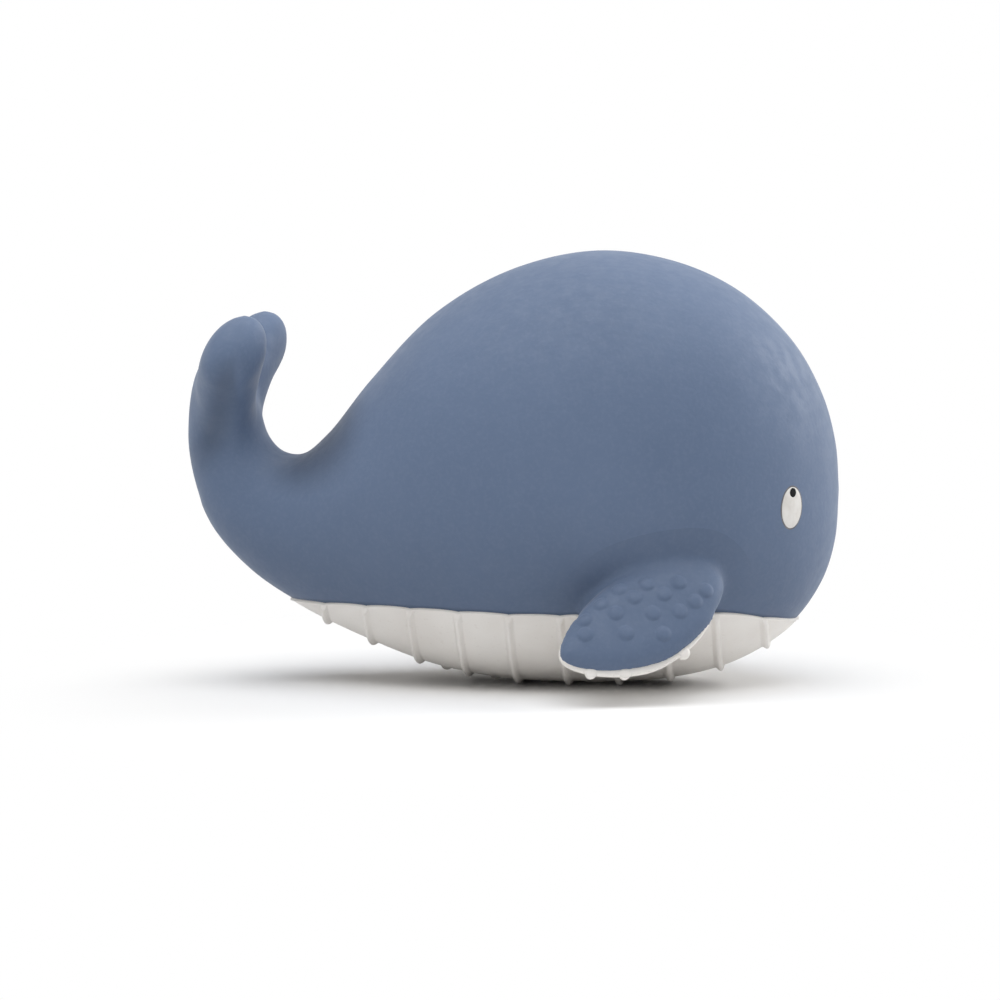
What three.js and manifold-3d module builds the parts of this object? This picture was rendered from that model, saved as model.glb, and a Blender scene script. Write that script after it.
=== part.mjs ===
// Whale teething toy: a hollow natural rubber casting with a painted back, a bare ribbed belly,
// studded fins that flap at their roots and tail flukes that bend at the thin end of the stem.
// Millimetres and degrees. +X is the snout, +Y the whale's left, +Z up, and the floor is Z = 0.
import * as THREE from 'three';
import { mergeVertices } from 'three/addons/utils/BufferGeometryUtils.js';
import Module from 'manifold-3d';

// Head: an egg round the tallest section, which stands under the crown.
const CROWN_X = 14;
const CROWN_HEIGHT = 73;
const KEEL_HEIGHT = 0.75;
const SNOUT_HEIGHT = 33;
const HEAD_REACH = 41;
const HEAD_HALF_WIDTH = 32;
const BROW_FULLNESS = 2.12;
const THROAT_FULLNESS = 2.48;
const HEAD_ANGLES = [10, 22, 37, 55, 72, 90];

// Body behind the crown. Each section runs from a point on the back line to one on the belly line.
// Points are shares of the reach behind the crown and of the crown's height, widths shares of the head's.
const TAIL_REACH = 69;
const REAR_SECTIONS = [
  { back: [0.203, 0.9575], belly: [0.203, 0.0151], halfWidth: 0.956 },
  { back: [0.3913, 0.8562], belly: [0.3841, 0.0452], halfWidth: 0.822 },
  { back: [0.5507, 0.7], belly: [0.558, 0.1055], halfWidth: 0.634 },
  { back: [0.6551, 0.5767], belly: [0.7246, 0.1808], halfWidth: 0.469 },
  { back: [0.7217, 0.5274], belly: [0.8507, 0.2603], halfWidth: 0.3625 },
  { back: [0.7739, 0.5342], belly: [0.9478, 0.3644], halfWidth: 0.294 },
  { back: [0.8087, 0.5712], belly: [0.9928, 0.4959], halfWidth: 0.256 },
];
// The thinnest section, where the tail bends, and the web that joins the two lobes above it.
const STEM_SECTION = { back: [0.8232, 0.6219], belly: [0.9997, 0.6164], halfWidth: 0.2375 };
const WEB_SECTIONS = [
  { back: [0.829, 0.6658], belly: [0.99, 0.689], halfWidth: 0.241 },
  { back: [0.8406, 0.7123], belly: [0.9681, 0.747], halfWidth: 0.222 },
  { back: [0.8551, 0.7425], belly: [0.9188, 0.7685], halfWidth: 0.118 },
  { back: [0.8855, 0.7644], belly: [0.8855, 0.7644], halfWidth: 0 },
];
const SECTION_FULLNESS = 2.15;
const WALL = 3;
const BOND_GAP = 0.3;
const SEAT_GAP = 0.25;

// Plane where the painted back meets the bare belly, given by its heights below the snout and the tail.
const PARTING_HEIGHT = { snout: 12.3, tail: 14 };

// Belly: a plate that stands proud of the body line, crossed by ribs at an even pitch along the keel.
const BELLY_RISE = 0.35;
const RIB_COUNT = 10;
const RIB_FIRST_X = -31;
const RIB_PITCH = 8.5;
const RIB_WIDTH = 2.2;
const RIB_HEIGHT = 0.8;
const RIB_FADE = 3.5;
const KEEL_NUB_BAYS = [2, 3, 4, 6];
const KEEL_NUB_RADIUS = 1.15;
const KEEL_NUB_HEIGHT = 0.75;

// Plug of the casting hole, in the bay between two ribs.
const PLUG_BAY = 5;
const PLUG_CAP_RADIUS = 2.7;
const PLUG_CAP_DEPTH = 1.3;
const PLUG_STEM_RADIUS = 1.8;
const PLUG_STEM_LENGTH = 3.4;

// Eyes: oval patches let into the head, each with a round pupil above its middle. Their place is given in
// shares of the head's reach and of the crown's height, and so is that of the fins.
const EYE_REACH = 0.834;
const EYE_LEVEL = 0.422;
const EYE_WIDTH = 3.8;
const EYE_HEIGHT = 6.7;
const EYE_DEPTH = 1.2;
const EYE_RISE = 0.1;
const PUPIL_LIFT = 2.3;
const PUPIL_SHIFT = -0.4;
const PUPIL_RADIUS = 0.75;
const PUPIL_DEPTH = 0.45;
const PUPIL_RISE = 0.2;

// Fins: oval leaves on a bead that lies along the root, clear of the body wall.
const FIN_REACH = 0.2854;
const FIN_LEVEL = 0.2644;
const FIN_STANDOFF = 3.1;
const FIN_TOE = 11.5;
const FIN_DROOP = 60;
const FIN_LENGTH = 28.2;
const FIN_WIDTH = 16.8;
const FIN_SWEEP = 28;
const FIN_CENTRE = { along: 3.4, out: 4.7 };
const FIN_THICKNESS = 4.8;
const FIN_FULLNESS = 4;
const FIN_EDGE_SHARE = 0.98;
const FIN_CROWN_SHARES = [0.92, 0.66];
const FIN_RIM = 0.7;
const FIN_GAP = 0.3;
const FIN_ROOT_DEPTH = 6.5;
const FIN_ROOT_SPAN = 0.97;
const FIN_ROOT_NARROW = 0.93;
const FIN_ROOT_FLARE = 2.1;
const FIN_ROOT_RINGS = [0, 0.4, 0.7, 1];
const DOT_RADIUS = 1.15;
const DOT_HEIGHT = 0.55;
const DOT_PITCH = 5.2;
const DOT_ROWS = [
  { out: -2.6, first: -6.6, count: 3 },
  { out: 1.6, first: -5.9, count: 4 },
  { out: 4.9, first: -2.9, count: 4 },
  { out: 8.4, first: 0.9, count: 3 },
];
const STUD_FOOT = 0.7;
const STUD_RADIUS = 1.1;
const STUD_HEIGHT = 1.4;
const STUD_PITCH = 6;
const STUD_ROWS = [
  { out: 5.2, first: -2.5, count: 3 },
  { out: 8.8, first: -1.6, count: 3 },
  { out: 12.4, first: 4.6, count: 2 },
];

// Tail lobes: a path on the right side from the stem to the lobe's tip, with sections that end in a round.
// It leans forwards, spreads sideways and rises, in shares of these three.
const LOBE_LEAN = 4.2;
const LOBE_SPREAD = 18;
const LOBE_RISE = 11.7;
const LOBE_PATH = [
  { lean: 0, spread: 0.11, rise: 0 },
  { lean: 0.2, spread: 0.33, rise: 0.4 },
  { lean: 0.55, spread: 0.6, rise: 0.72 },
  { lean: 0.85, spread: 0.82, rise: 0.9 },
  { lean: 1, spread: 1, rise: 1 },
];
const LOBE_TILT = 26;
const LOBE_HALF_THICKNESS = { stem: 4.4, middle: 4.9, tip: 4.2 };
const LOBE_HALF_WIDTH = { stem: 4, middle: 7.8, tip: 6.8 };
const LOBE_SWELL = 1.15;
const LOBE_ROUND_FROM = 0.66;
const LOBE_RING_SHARES = [0, 0.16, 0.32, 0.48, 0.62, 0.74, 0.84, 0.92, 0.975];
const FLUKE_GAP = 0.3;
const FLUKE_COLLAR = 0.6;

const BODY_SIDES = 28;
const LEAF_SIDES = 24;
const BEAD_SIDES = 16;
const LOBE_SIDES = 16;
const SPINDLE_SIDES = 24;
const CAVITY_SIDES = 20;
const PLUG_SIDES = 20;
const EYE_SIDES = 20;
const PUPIL_SIDES = 12;
const STUD_SIDES = 8;
const RINGS_PER_SECTION = 2;
const HALVINGS = 40;
const FAR = 200;

const UP = new THREE.Vector3(0, 0, 1);
const PAINT_BLUE = 0x6f84a6;
const RUBBER_CREAM = 0xd8d2c8;
const EYE_WHITE = 0xe9e7e3;
const PUPIL_BLACK = 0x17171a;

const wasm = await Module();
wasm.setup();

// Solids and meshes

function solidOf(geometry) {
  const bare = geometry.clone();
  bare.deleteAttribute('normal');
  bare.deleteAttribute('uv');
  const merged = mergeVertices(bare, 1e-4);
  return new wasm.Manifold(new wasm.Mesh({
    numProp: 3,
    vertProperties: new Float32Array(merged.attributes.position.array),
    triVerts: new Uint32Array(merged.index.array),
  }));
}

function geometryOf(solid) {
  const mesh = solid.getMesh();
  const geometry = new THREE.BufferGeometry();
  geometry.setAttribute('position', new THREE.BufferAttribute(mesh.vertProperties, 3));
  geometry.setIndex(new THREE.BufferAttribute(mesh.triVerts, 1));
  geometry.computeVertexNormals();
  return geometry;
}

// The same solid on the other side of the toy.
function mirrored(solid) {
  const geometry = geometryOf(solid).scale(1, -1, 1);
  const corners = geometry.index.array;
  for (let i = 0; i < corners.length; i += 3) {
    [corners[i], corners[i + 1]] = [corners[i + 1], corners[i]];
  }
  return solidOf(geometry);
}

// A closed skin through rings of equal count. A ring of one point is a pole, and other ends get a flat cap.
function solidThrough(rings) {
  const points = [];
  const faces = [];
  const starts = rings.map((ring) => points.push(...ring) - ring.length);
  for (let i = 1; i < rings.length; i += 1) {
    const sides = Math.max(rings[i - 1].length, rings[i].length);
    const near = (k) => starts[i - 1] + (k % rings[i - 1].length);
    const far = (k) => starts[i] + (k % rings[i].length);
    for (let k = 0; k < sides; k += 1) {
      if (rings[i - 1].length > 1) faces.push([near(k), near(k + 1), far(k)]);
      if (rings[i].length > 1) faces.push([near(k + 1), far(k + 1), far(k)]);
    }
  }
  const cap = (start, ring, outward) => {
    const middle = ring.reduce((sum, p) => sum.add(p), new THREE.Vector3()).divideScalar(ring.length);
    const hub = points.push(middle) - 1;
    ring.forEach((_, k) => {
      const next = start + ((k + 1) % ring.length);
      faces.push(outward ? [hub, start + k, next] : [hub, next, start + k]);
    });
  };
  const last = rings.length - 1;
  if (rings[0].length > 1) cap(starts[0], rings[0], false);
  if (rings[last].length > 1) cap(starts[last], rings[last], true);
  const volume = faces.reduce((sum, [a, b, c]) => {
    const normal = new THREE.Vector3().crossVectors(points[b], points[c]);
    return sum + points[a].dot(normal);
  }, 0);
  const geometry = new THREE.BufferGeometry().setFromPoints(points);
  geometry.setIndex(faces.flatMap(([a, b, c]) => (volume > 0 ? [a, b, c] : [a, c, b])));
  return solidOf(geometry);
}

// A round stud with a domed end: its foot is sunk so that it fuses with a curved surface.
function dome(radius, height) {
  const profile = [new THREE.Vector2(0, -STUD_FOOT), new THREE.Vector2(radius, -STUD_FOOT)];
  for (const lift of [0, 45]) {
    const angle = THREE.MathUtils.degToRad(lift);
    profile.push(new THREE.Vector2(radius * Math.cos(angle), height * Math.sin(angle)));
  }
  profile.push(new THREE.Vector2(0, height));
  return new THREE.LatheGeometry(profile, STUD_SIDES).rotateX(Math.PI / 2);
}

function placed(geometry, position, direction) {
  const turn = new THREE.Quaternion().setFromUnitVectors(UP, direction);
  const place = new THREE.Matrix4().compose(position, turn, new THREE.Vector3(1, 1, 1));
  return geometry.clone().applyMatrix4(place);
}

// Body line: two rails, back and belly, with a near-elliptical section between their matching points

const headSections = HEAD_ANGLES.map((degrees) => {
  const angle = THREE.MathUtils.degToRad(degrees);
  const forward = Math.cos(angle);
  const rise = (1 - forward ** BROW_FULLNESS) ** (1 / BROW_FULLNESS);
  const drop = (1 - forward ** THROAT_FULLNESS) ** (1 / THROAT_FULLNESS);
  const x = CROWN_X + HEAD_REACH * forward;
  return {
    back: [x, SNOUT_HEIGHT + (CROWN_HEIGHT - SNOUT_HEIGHT) * rise],
    belly: [x, SNOUT_HEIGHT - (SNOUT_HEIGHT - KEEL_HEIGHT) * drop],
    halfWidth: HEAD_HALF_WIDTH * Math.sin(angle),
  };
});
const snout = [CROWN_X + HEAD_REACH, SNOUT_HEIGHT];
const tailEnd = CROWN_X - TAIL_REACH;
const rearPoint = ([reach, rise]) => [CROWN_X - TAIL_REACH * reach, CROWN_HEIGHT * rise];
const rearSection = ({ back, belly, halfWidth }) => (
  { back: rearPoint(back), belly: rearPoint(belly), halfWidth: HEAD_HALF_WIDTH * halfWidth }
);
const headCount = headSections.length + 1;
const sections = [
  { back: snout, belly: snout, halfWidth: 0 },
  ...headSections,
  ...[...REAR_SECTIONS, STEM_SECTION, ...WEB_SECTIONS].map(rearSection),
];
const rail = (side) => new THREE.CatmullRomCurve3(
  sections.map((s) => new THREE.Vector3(s[side][0], s.halfWidth, s[side][1])),
);
const backRail = rail('back');
const bellyRail = rail('belly');
const rearStation = (index) => (headCount + index) / (sections.length - 1);
const STEM_STATION = rearStation(REAR_SECTIONS.length);
const CAVITY_END = rearStation(REAR_SECTIONS.length - 3);
const UPRIGHT_END = rearStation(2);

function sectionAt(station) {
  const back = backRail.getPoint(station);
  const belly = bellyRail.getPoint(station);
  const halfWidth = (back.y + belly.y) / 2;
  back.y = 0;
  belly.y = 0;
  const middle = back.clone().add(belly).divideScalar(2);
  const upward = back.clone().sub(middle);
  const halfHeight = upward.length();
  return { middle, upward: upward.normalize(), halfHeight, halfWidth };
}

const rounded = (value) => Math.sign(value) * Math.abs(value) ** (2 / SECTION_FULLNESS);

// A point of the body line. The angle runs from the back through the left side to the belly.
function linePoint(station, angle) {
  const { middle, upward, halfHeight, halfWidth } = sectionAt(station);
  const point = middle.addScaledVector(upward, halfHeight * rounded(Math.cos(angle)));
  point.y += halfWidth * rounded(Math.sin(angle));
  return point;
}

function lineNormal(station, angle) {
  const step = 1e-3;
  const along = linePoint(Math.min(station + step, 1), angle)
    .sub(linePoint(Math.max(station - step, step), angle));
  const around = linePoint(station, angle + step).sub(linePoint(station, angle - step));
  return around.cross(along).normalize();
}

function skinPoint(station, angle, offset) {
  const normal = station === 0 ? new THREE.Vector3(1, 0, 0) : lineNormal(station, angle);
  return linePoint(station, angle).addScaledVector(normal, offset);
}

function evenAngles(count) {
  return Array.from({ length: count }, (_, k) => (2 * Math.PI * k) / count);
}

// The body line grown outwards by an offset that may differ from place to place.
function lineSolid(stations, angles, offset) {
  return solidThrough(stations.map((station) => {
    const ring = angles.map((angle) => skinPoint(station, angle, offset(station, angle)));
    return sectionAt(station).halfWidth < 1e-6 ? [ring[0]] : ring;
  }));
}

function stationsBetween(from, to, perSection) {
  const count = Math.round((to - from) * (sections.length - 1) * perSection);
  return Array.from({ length: count + 1 }, (_, i) => from + ((to - from) * i) / count);
}

const bodyStations = stationsBetween(0, STEM_STATION, RINGS_PER_SECTION);
const bodyAngles = evenAngles(BODY_SIDES);
const grownBody = (offset) => lineSolid(bodyStations, bodyAngles, () => offset);

// Station of the upright section at a given x, and the place on the right flank that two shares give.
function stationAtX(x) {
  let near = 0;
  let far = UPRIGHT_END;
  for (let i = 0; i < HALVINGS; i += 1) {
    const half = (near + far) / 2;
    if (sectionAt(half).middle.x > x) near = half;
    else far = half;
  }
  return near;
}

function rightFlank(reach, level) {
  const station = stationAtX(CROWN_X + HEAD_REACH * reach);
  const { middle, halfHeight } = sectionAt(station);
  const lift = (CROWN_HEIGHT * level - middle.z) / halfHeight;
  const angle = -Math.acos(Math.sign(lift) * Math.abs(lift) ** (SECTION_FULLNESS / 2));
  return { point: linePoint(station, angle), normal: lineNormal(station, angle) };
}

// Parting plane as a deep block whose top face lies on it, lifted by a given amount

const partingSlope = (PARTING_HEIGHT.snout - PARTING_HEIGHT.tail) / (HEAD_REACH + TAIL_REACH);
const partingHeight = (x) => PARTING_HEIGHT.tail + (x - tailEnd) * partingSlope;

function blockBelowParting(lift) {
  const block = new THREE.BoxGeometry(FAR, FAR, FAR).translate(0, 0, lift - FAR / 2);
  block.rotateY(-Math.atan(partingSlope)).translate(0, 0, partingHeight(0));
  return solidOf(block);
}

// Fin frame: along the root to the rear, out to the free edge, and up from the fin's face

const finSeat = rightFlank(FIN_REACH, FIN_LEVEL);
const finOrigin = finSeat.point.clone().addScaledVector(finSeat.normal, FIN_STANDOFF);
const toe = THREE.MathUtils.degToRad(FIN_TOE);
const droop = THREE.MathUtils.degToRad(FIN_DROOP);
const finAlong = new THREE.Vector3(-Math.cos(toe), -Math.sin(toe), 0);
const finLevel = new THREE.Vector3(Math.sin(toe), -Math.cos(toe), 0);
const finOut = finLevel.clone().multiplyScalar(Math.cos(droop)).addScaledVector(UP, -Math.sin(droop));
const finUp = finLevel.clone().multiplyScalar(Math.sin(droop)).addScaledVector(UP, Math.cos(droop));
const finFrame = new THREE.Matrix4().makeBasis(finAlong, finOut, finUp).setPosition(finOrigin);
const inFin = (geometry) => solidOf(geometry.clone().applyMatrix4(finFrame));

// Leaf outline: an oval turned by the sweep. Share 1 is its edge, and 0 its middle.
const sweep = THREE.MathUtils.degToRad(FIN_SWEEP);

function leafPlace(share, angle, rim) {
  const long = (FIN_LENGTH / 2 + rim) * share * Math.cos(angle);
  const wide = (FIN_WIDTH / 2 + rim) * share * Math.sin(angle);
  return {
    along: FIN_CENTRE.along + long * Math.cos(sweep) - wide * Math.sin(sweep),
    out: FIN_CENTRE.out + long * Math.sin(sweep) + wide * Math.cos(sweep),
  };
}

function leafShare(along, out) {
  const x = along - FIN_CENTRE.along;
  const y = out - FIN_CENTRE.out;
  const long = (x * Math.cos(sweep) + y * Math.sin(sweep)) / (FIN_LENGTH / 2);
  const wide = (y * Math.cos(sweep) - x * Math.sin(sweep)) / (FIN_WIDTH / 2);
  return Math.hypot(long, wide);
}

const leafHalf = (share) => (FIN_THICKNESS / 2) * Math.sqrt(Math.max(0, 1 - share ** FIN_FULLNESS));

// One half of the leaf, from a flat middle face to its domed outer face.
function leafHalfSolid(facing, rim, flatAt) {
  const angles = evenAngles(LEAF_SIDES);
  const level = (share, height) => angles.map((angle) => {
    const { along, out } = leafPlace(share, angle, rim);
    return new THREE.Vector3(along, out, facing * height).applyMatrix4(finFrame);
  });
  const middle = (height) => [
    new THREE.Vector3(FIN_CENTRE.along, FIN_CENTRE.out, facing * height).applyMatrix4(finFrame),
  ];
  const crowned = FIN_CROWN_SHARES.map((share) => level(share, flatAt + leafHalf(share)));
  return solidThrough([
    middle(flatAt),
    level(1, flatAt),
    level(1, flatAt + leafHalf(FIN_EDGE_SHARE)),
    ...crowned,
    middle(flatAt + leafHalf(0)),
  ]);
}

// Ends of the root bead: the two places where the root line crosses the leaf's outline.
function rootEnds() {
  const ends = [-1, 1].map((direction) => {
    let inside = FIN_CENTRE.along;
    let outside = FIN_CENTRE.along + direction * FIN_LENGTH;
    for (let i = 0; i < HALVINGS; i += 1) {
      const half = (inside + outside) / 2;
      if (leafShare(half, 0) < 1) inside = half;
      else outside = half;
    }
    return inside;
  });
  return { front: ends[0], rear: ends[1] };
}

const root = rootEnds();
const rootMiddle = (root.front + root.rear) / 2;
const rootHalf = (root.rear - root.front) / 2;
const ROOT_STEPS = [-1, -0.93, -0.72, -0.3, 0.3, 0.72, 0.93, 1];

// Half thickness of the leaf along the root line, which the bead and its socket turn about.
const rootRadius = (step) => leafHalf(leafShare(rootMiddle + rootHalf * step, 0));

function rootBead(gap) {
  const least = gap > 0 ? gap * 2 : 0;
  const reach = rootHalf + gap;
  const profile = ROOT_STEPS.map((step) => {
    const radius = Math.max(rootRadius(step) + gap, least);
    return new THREE.Vector2(radius, rootMiddle + reach * step);
  });
  const first = new THREE.Vector2(0, rootMiddle - reach);
  const last = new THREE.Vector2(0, rootMiddle + reach);
  return inFin(new THREE.LatheGeometry([first, ...profile, last], BEAD_SIDES).rotateZ(-Math.PI / 2));
}

// The pedestal behind the leaf: it starts on the bead's plane and flares into the wall of the body.
function finPedestal() {
  const inward = finSeat.normal.clone().multiplyScalar(-1);
  const back = finOut.clone().multiplyScalar(-1);
  const ring = (share) => {
    const depth = FIN_ROOT_DEPTH * share;
    const travel = back.clone().lerp(inward, share).multiplyScalar(depth);
    const spread = THREE.MathUtils.lerp(FIN_ROOT_SPAN, FIN_ROOT_NARROW, share);
    const swell = THREE.MathUtils.lerp(FIN_ROOT_SPAN, FIN_ROOT_FLARE, share ** 2);
    const edge = (step, side) => new THREE.Vector3(
      rootMiddle + rootHalf * step * spread,
      0,
      side * rootRadius(step) * swell,
    ).applyMatrix4(finFrame).add(travel);
    const over = ROOT_STEPS.map((step) => edge(step, 1));
    const under = ROOT_STEPS.slice(1, -1).reverse().map((step) => edge(step, -1));
    return [...over, ...under];
  };
  return solidThrough(FIN_ROOT_RINGS.map(ring));
}

// Everything on the free side of the root line, from a given distance outwards.
function beyondRoot(distance) {
  return inFin(new THREE.BoxGeometry(FAR, FAR, FAR).translate(0, distance + FAR / 2, 0));
}

function patternOnFin(rows, pitch, facing, stud) {
  const places = rows.flatMap(({ out, first, count }) => (
    Array.from({ length: count }, (_, i) => ({ along: first + i * pitch, out }))
  ));
  return places.map(({ along, out }) => {
    const height = leafHalf(leafShare(along, out));
    const direction = new THREE.Vector3(0, 0, facing);
    const geometry = placed(stud, new THREE.Vector3(along, out, facing * height), direction);
    return { out, solid: inFin(geometry) };
  });
}

// Right fin: painted upper half with the bead and dots, bare lower half with chewing studs

const dots = patternOnFin(DOT_ROWS, DOT_PITCH, 1, dome(DOT_RADIUS, DOT_HEIGHT));
const studs = patternOnFin(STUD_ROWS, STUD_PITCH, -1, dome(STUD_RADIUS, STUD_HEIGHT));

let finTop = leafHalfSolid(1, 0, 0).intersect(beyondRoot(0)).add(rootBead(0));
dots.filter(({ out }) => out > 0).forEach(({ solid }) => { finTop = finTop.add(solid); });

const beadClear = FIN_THICKNESS / 2 + FIN_GAP;
let finUnderside = leafHalfSolid(-1, FIN_RIM, FIN_GAP).intersect(beyondRoot(beadClear));
studs.forEach(({ solid }) => { finUnderside = finUnderside.add(solid); });

let fixedRoot = leafHalfSolid(1, 0, 0).add(leafHalfSolid(-1, 0, 0)).add(finPedestal());
dots.filter(({ out }) => out < 0).forEach(({ solid }) => { fixedRoot = fixedRoot.add(solid); });
fixedRoot = fixedRoot.subtract(beyondRoot(0));
const rootSocket = rootBead(FIN_GAP);

// Eyes and pupils: prisms square to the head, kept between two offsets of the body line

const eyeSeat = rightFlank(EYE_REACH, EYE_LEVEL);
const eyeSide = UP.clone().cross(eyeSeat.normal).normalize();
const eyeUpward = eyeSeat.normal.clone().cross(eyeSide);
const eyeFrame = new THREE.Matrix4().makeBasis(eyeSide, eyeUpward, eyeSeat.normal)
  .setPosition(eyeSeat.point);

function eyePrism(halfWidth, halfHeight, shift, lift, sides) {
  const round = new THREE.CylinderGeometry(1, 1, EYE_HEIGHT, sides).rotateX(Math.PI / 2);
  round.scale(halfWidth, halfHeight, 1).translate(shift, lift, 0);
  return solidOf(round.applyMatrix4(eyeFrame));
}

const eyeOval = (gap) => eyePrism(EYE_WIDTH / 2 + gap, EYE_HEIGHT / 2 + gap, 0, 0, EYE_SIDES);
const pupilRound = (gap) => {
  const radius = PUPIL_RADIUS + gap;
  return eyePrism(radius, radius, PUPIL_SHIFT, PUPIL_LIFT, PUPIL_SIDES);
};

const eyePocket = eyeOval(SEAT_GAP).subtract(grownBody(-EYE_DEPTH - SEAT_GAP));
const pupilPocket = pupilRound(SEAT_GAP).subtract(grownBody(-PUPIL_DEPTH - SEAT_GAP));
const eye = eyeOval(0).intersect(grownBody(EYE_RISE)).subtract(grownBody(-EYE_DEPTH))
  .subtract(pupilPocket);
const pupil = pupilRound(0).intersect(grownBody(PUPIL_RISE)).subtract(grownBody(-PUPIL_DEPTH));

// Tail joint: the stem's own section turned about the bend line, so that it fits at every angle

const stem = sectionAt(STEM_STATION);

function stemSpindle(gap) {
  const least = gap > 0 ? FLUKE_COLLAR : 0;
  const steps = BODY_SIDES / 4;
  const profile = [];
  for (let i = -steps; i <= steps; i += 1) {
    const angle = (Math.PI / 2) * (i / steps);
    const radius = stem.halfHeight * rounded(Math.max(Math.cos(angle), 0));
    const place = stem.halfWidth * rounded(Math.sin(angle));
    profile.push(new THREE.Vector2(Math.max(radius + gap, least), place));
  }
  const reach = stem.halfWidth + (gap > 0 ? FLUKE_COLLAR * 2 : 0);
  if (gap > 0) {
    profile.unshift(new THREE.Vector2(FLUKE_COLLAR, -reach));
    profile.push(new THREE.Vector2(FLUKE_COLLAR, reach));
    profile.unshift(new THREE.Vector2(0, -reach));
    profile.push(new THREE.Vector2(0, reach));
  }
  const lathe = new THREE.LatheGeometry(profile, SPINDLE_SIDES);
  return solidOf(lathe.translate(stem.middle.x, 0, stem.middle.z));
}

// One tail lobe: oval sections along its path, square to it, closing in a round tip. The tilt brings their
// upper edge forwards.
function tailLobe() {
  const tilt = THREE.MathUtils.degToRad(LOBE_TILT);
  const path = new THREE.CatmullRomCurve3(LOBE_PATH.map(({ lean, spread, rise }) => (
    new THREE.Vector3(LOBE_LEAN * lean, -LOBE_SPREAD * spread, LOBE_RISE * rise).add(stem.middle)
  )));
  const along = new THREE.QuadraticBezierCurve3(
    new THREE.Vector3(LOBE_HALF_THICKNESS.stem, LOBE_HALF_WIDTH.stem, 0),
    new THREE.Vector3(LOBE_HALF_THICKNESS.middle, LOBE_HALF_WIDTH.middle, 0).multiplyScalar(LOBE_SWELL),
    new THREE.Vector3(LOBE_HALF_THICKNESS.tip, LOBE_HALF_WIDTH.tip, 0),
  );
  const rings = LOBE_RING_SHARES.map((share) => {
    const centre = path.getPoint(share);
    const forward = path.getTangent(share);
    const across = new THREE.Vector3(1, 0, 0).addScaledVector(forward, -forward.x).normalize();
    across.applyAxisAngle(forward, -tilt);
    const beside = forward.clone().cross(across);
    const past = Math.max(0, share - LOBE_ROUND_FROM) / (1 - LOBE_ROUND_FROM);
    const round = Math.sqrt(1 - past ** 2);
    const half = along.getPoint(share).multiplyScalar(round);
    return evenAngles(LOBE_SIDES).map((angle) => centre.clone()
      .addScaledVector(across, half.x * Math.cos(angle))
      .addScaledVector(beside, half.y * Math.sin(angle)));
  });
  return solidThrough([...rings, [path.getPoint(1)]]);
}

const webStations = stationsBetween(STEM_STATION, 1, RINGS_PER_SECTION);
const web = lineSolid(webStations, bodyAngles, () => 0);
const rightLobe = tailLobe();
const aboveStem = solidOf(new THREE.BoxGeometry(FAR, FAR, FAR)
  .translate(0, 0, FAR / 2)
  .rotateY(-Math.atan2(stem.upward.z, stem.upward.x))
  .translate(stem.middle.x, 0, stem.middle.z));
const tailFlukes = web.add(rightLobe).add(mirrored(rightLobe)).intersect(aboveStem).add(stemSpindle(0));

// Belly: ribs and nubs are laid out by distance along the keel, from the rear forwards

const keelSteps = 600;
const keel = [];
for (let i = 0; i <= keelSteps; i += 1) {
  const station = STEM_STATION * (1 - i / keelSteps);
  const point = bellyRail.getPoint(station).setY(0);
  const before = keel[i - 1];
  keel.push({ station, point, run: before ? before.run + point.distanceTo(before.point) : 0 });
}
const firstRun = keel.find(({ point }) => point.x > RIB_FIRST_X).run;
const ribRuns = Array.from({ length: RIB_COUNT }, (_, i) => firstRun + i * RIB_PITCH);
const bayRun = (bay) => ribRuns[bay] + RIB_PITCH / 2;
const stationAtRun = (run) => {
  const next = keel.findIndex((mark) => mark.run >= run);
  const share = (run - keel[next - 1].run) / (keel[next].run - keel[next - 1].run);
  return THREE.MathUtils.lerp(keel[next - 1].station, keel[next].station, share);
};

// Rings of the belly: five across each rib, one in each bay, and a few more under the snout and the stem.
const ribShape = [
  { shift: -0.5, height: 0 },
  { shift: -0.25, height: 0.55 },
  { shift: 0, height: 1 },
  { shift: 0.25, height: 0.55 },
  { shift: 0.5, height: 0 },
];
const snoutRings = [0.25, 0.6, 1, 1.5, 2, 2.4].map((index) => index / (sections.length - 1));
const stemRings = [RIB_PITCH, 2 * RIB_PITCH].map((back) => stationAtRun(ribRuns[0] - back));
const bellyMarks = ribRuns.flatMap((run) => ribShape.map(({ shift, height }) => (
  { station: stationAtRun(run + shift * RIB_WIDTH), height: height * RIB_HEIGHT }
)));
const bayRings = ribRuns.slice(1).map((run) => stationAtRun(run - RIB_PITCH / 2));
[0, ...snoutRings, ...bayRings, ...stemRings].forEach((station) => bellyMarks.push({ station, height: 0 }));
bellyMarks.sort((a, b) => a.station - b.station);
const ribHeightAt = new Map(bellyMarks.map(({ station, height }) => [station, height]));
const bellyAngles = [0, 60, 95, 110, 122, 132, 142, 151, 160, 170].map(THREE.MathUtils.degToRad);
const bellyRing = [...bellyAngles, Math.PI, ...bellyAngles.slice(1).reverse().map((a) => 2 * Math.PI - a)];

function bellyOffset(station, angle) {
  const point = linePoint(station, angle);
  const depth = partingHeight(point.x) - point.z;
  const fade = THREE.MathUtils.smoothstep(depth, 0, RIB_FADE);
  return BELLY_RISE + ribHeightAt.get(station) * fade;
}

const keelPlace = (run) => {
  const station = stationAtRun(run);
  return { point: skinPoint(station, Math.PI, BELLY_RISE), normal: lineNormal(station, Math.PI) };
};
const nub = dome(KEEL_NUB_RADIUS, KEEL_NUB_HEIGHT);
const plugSeat = keelPlace(bayRun(PLUG_BAY));

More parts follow.
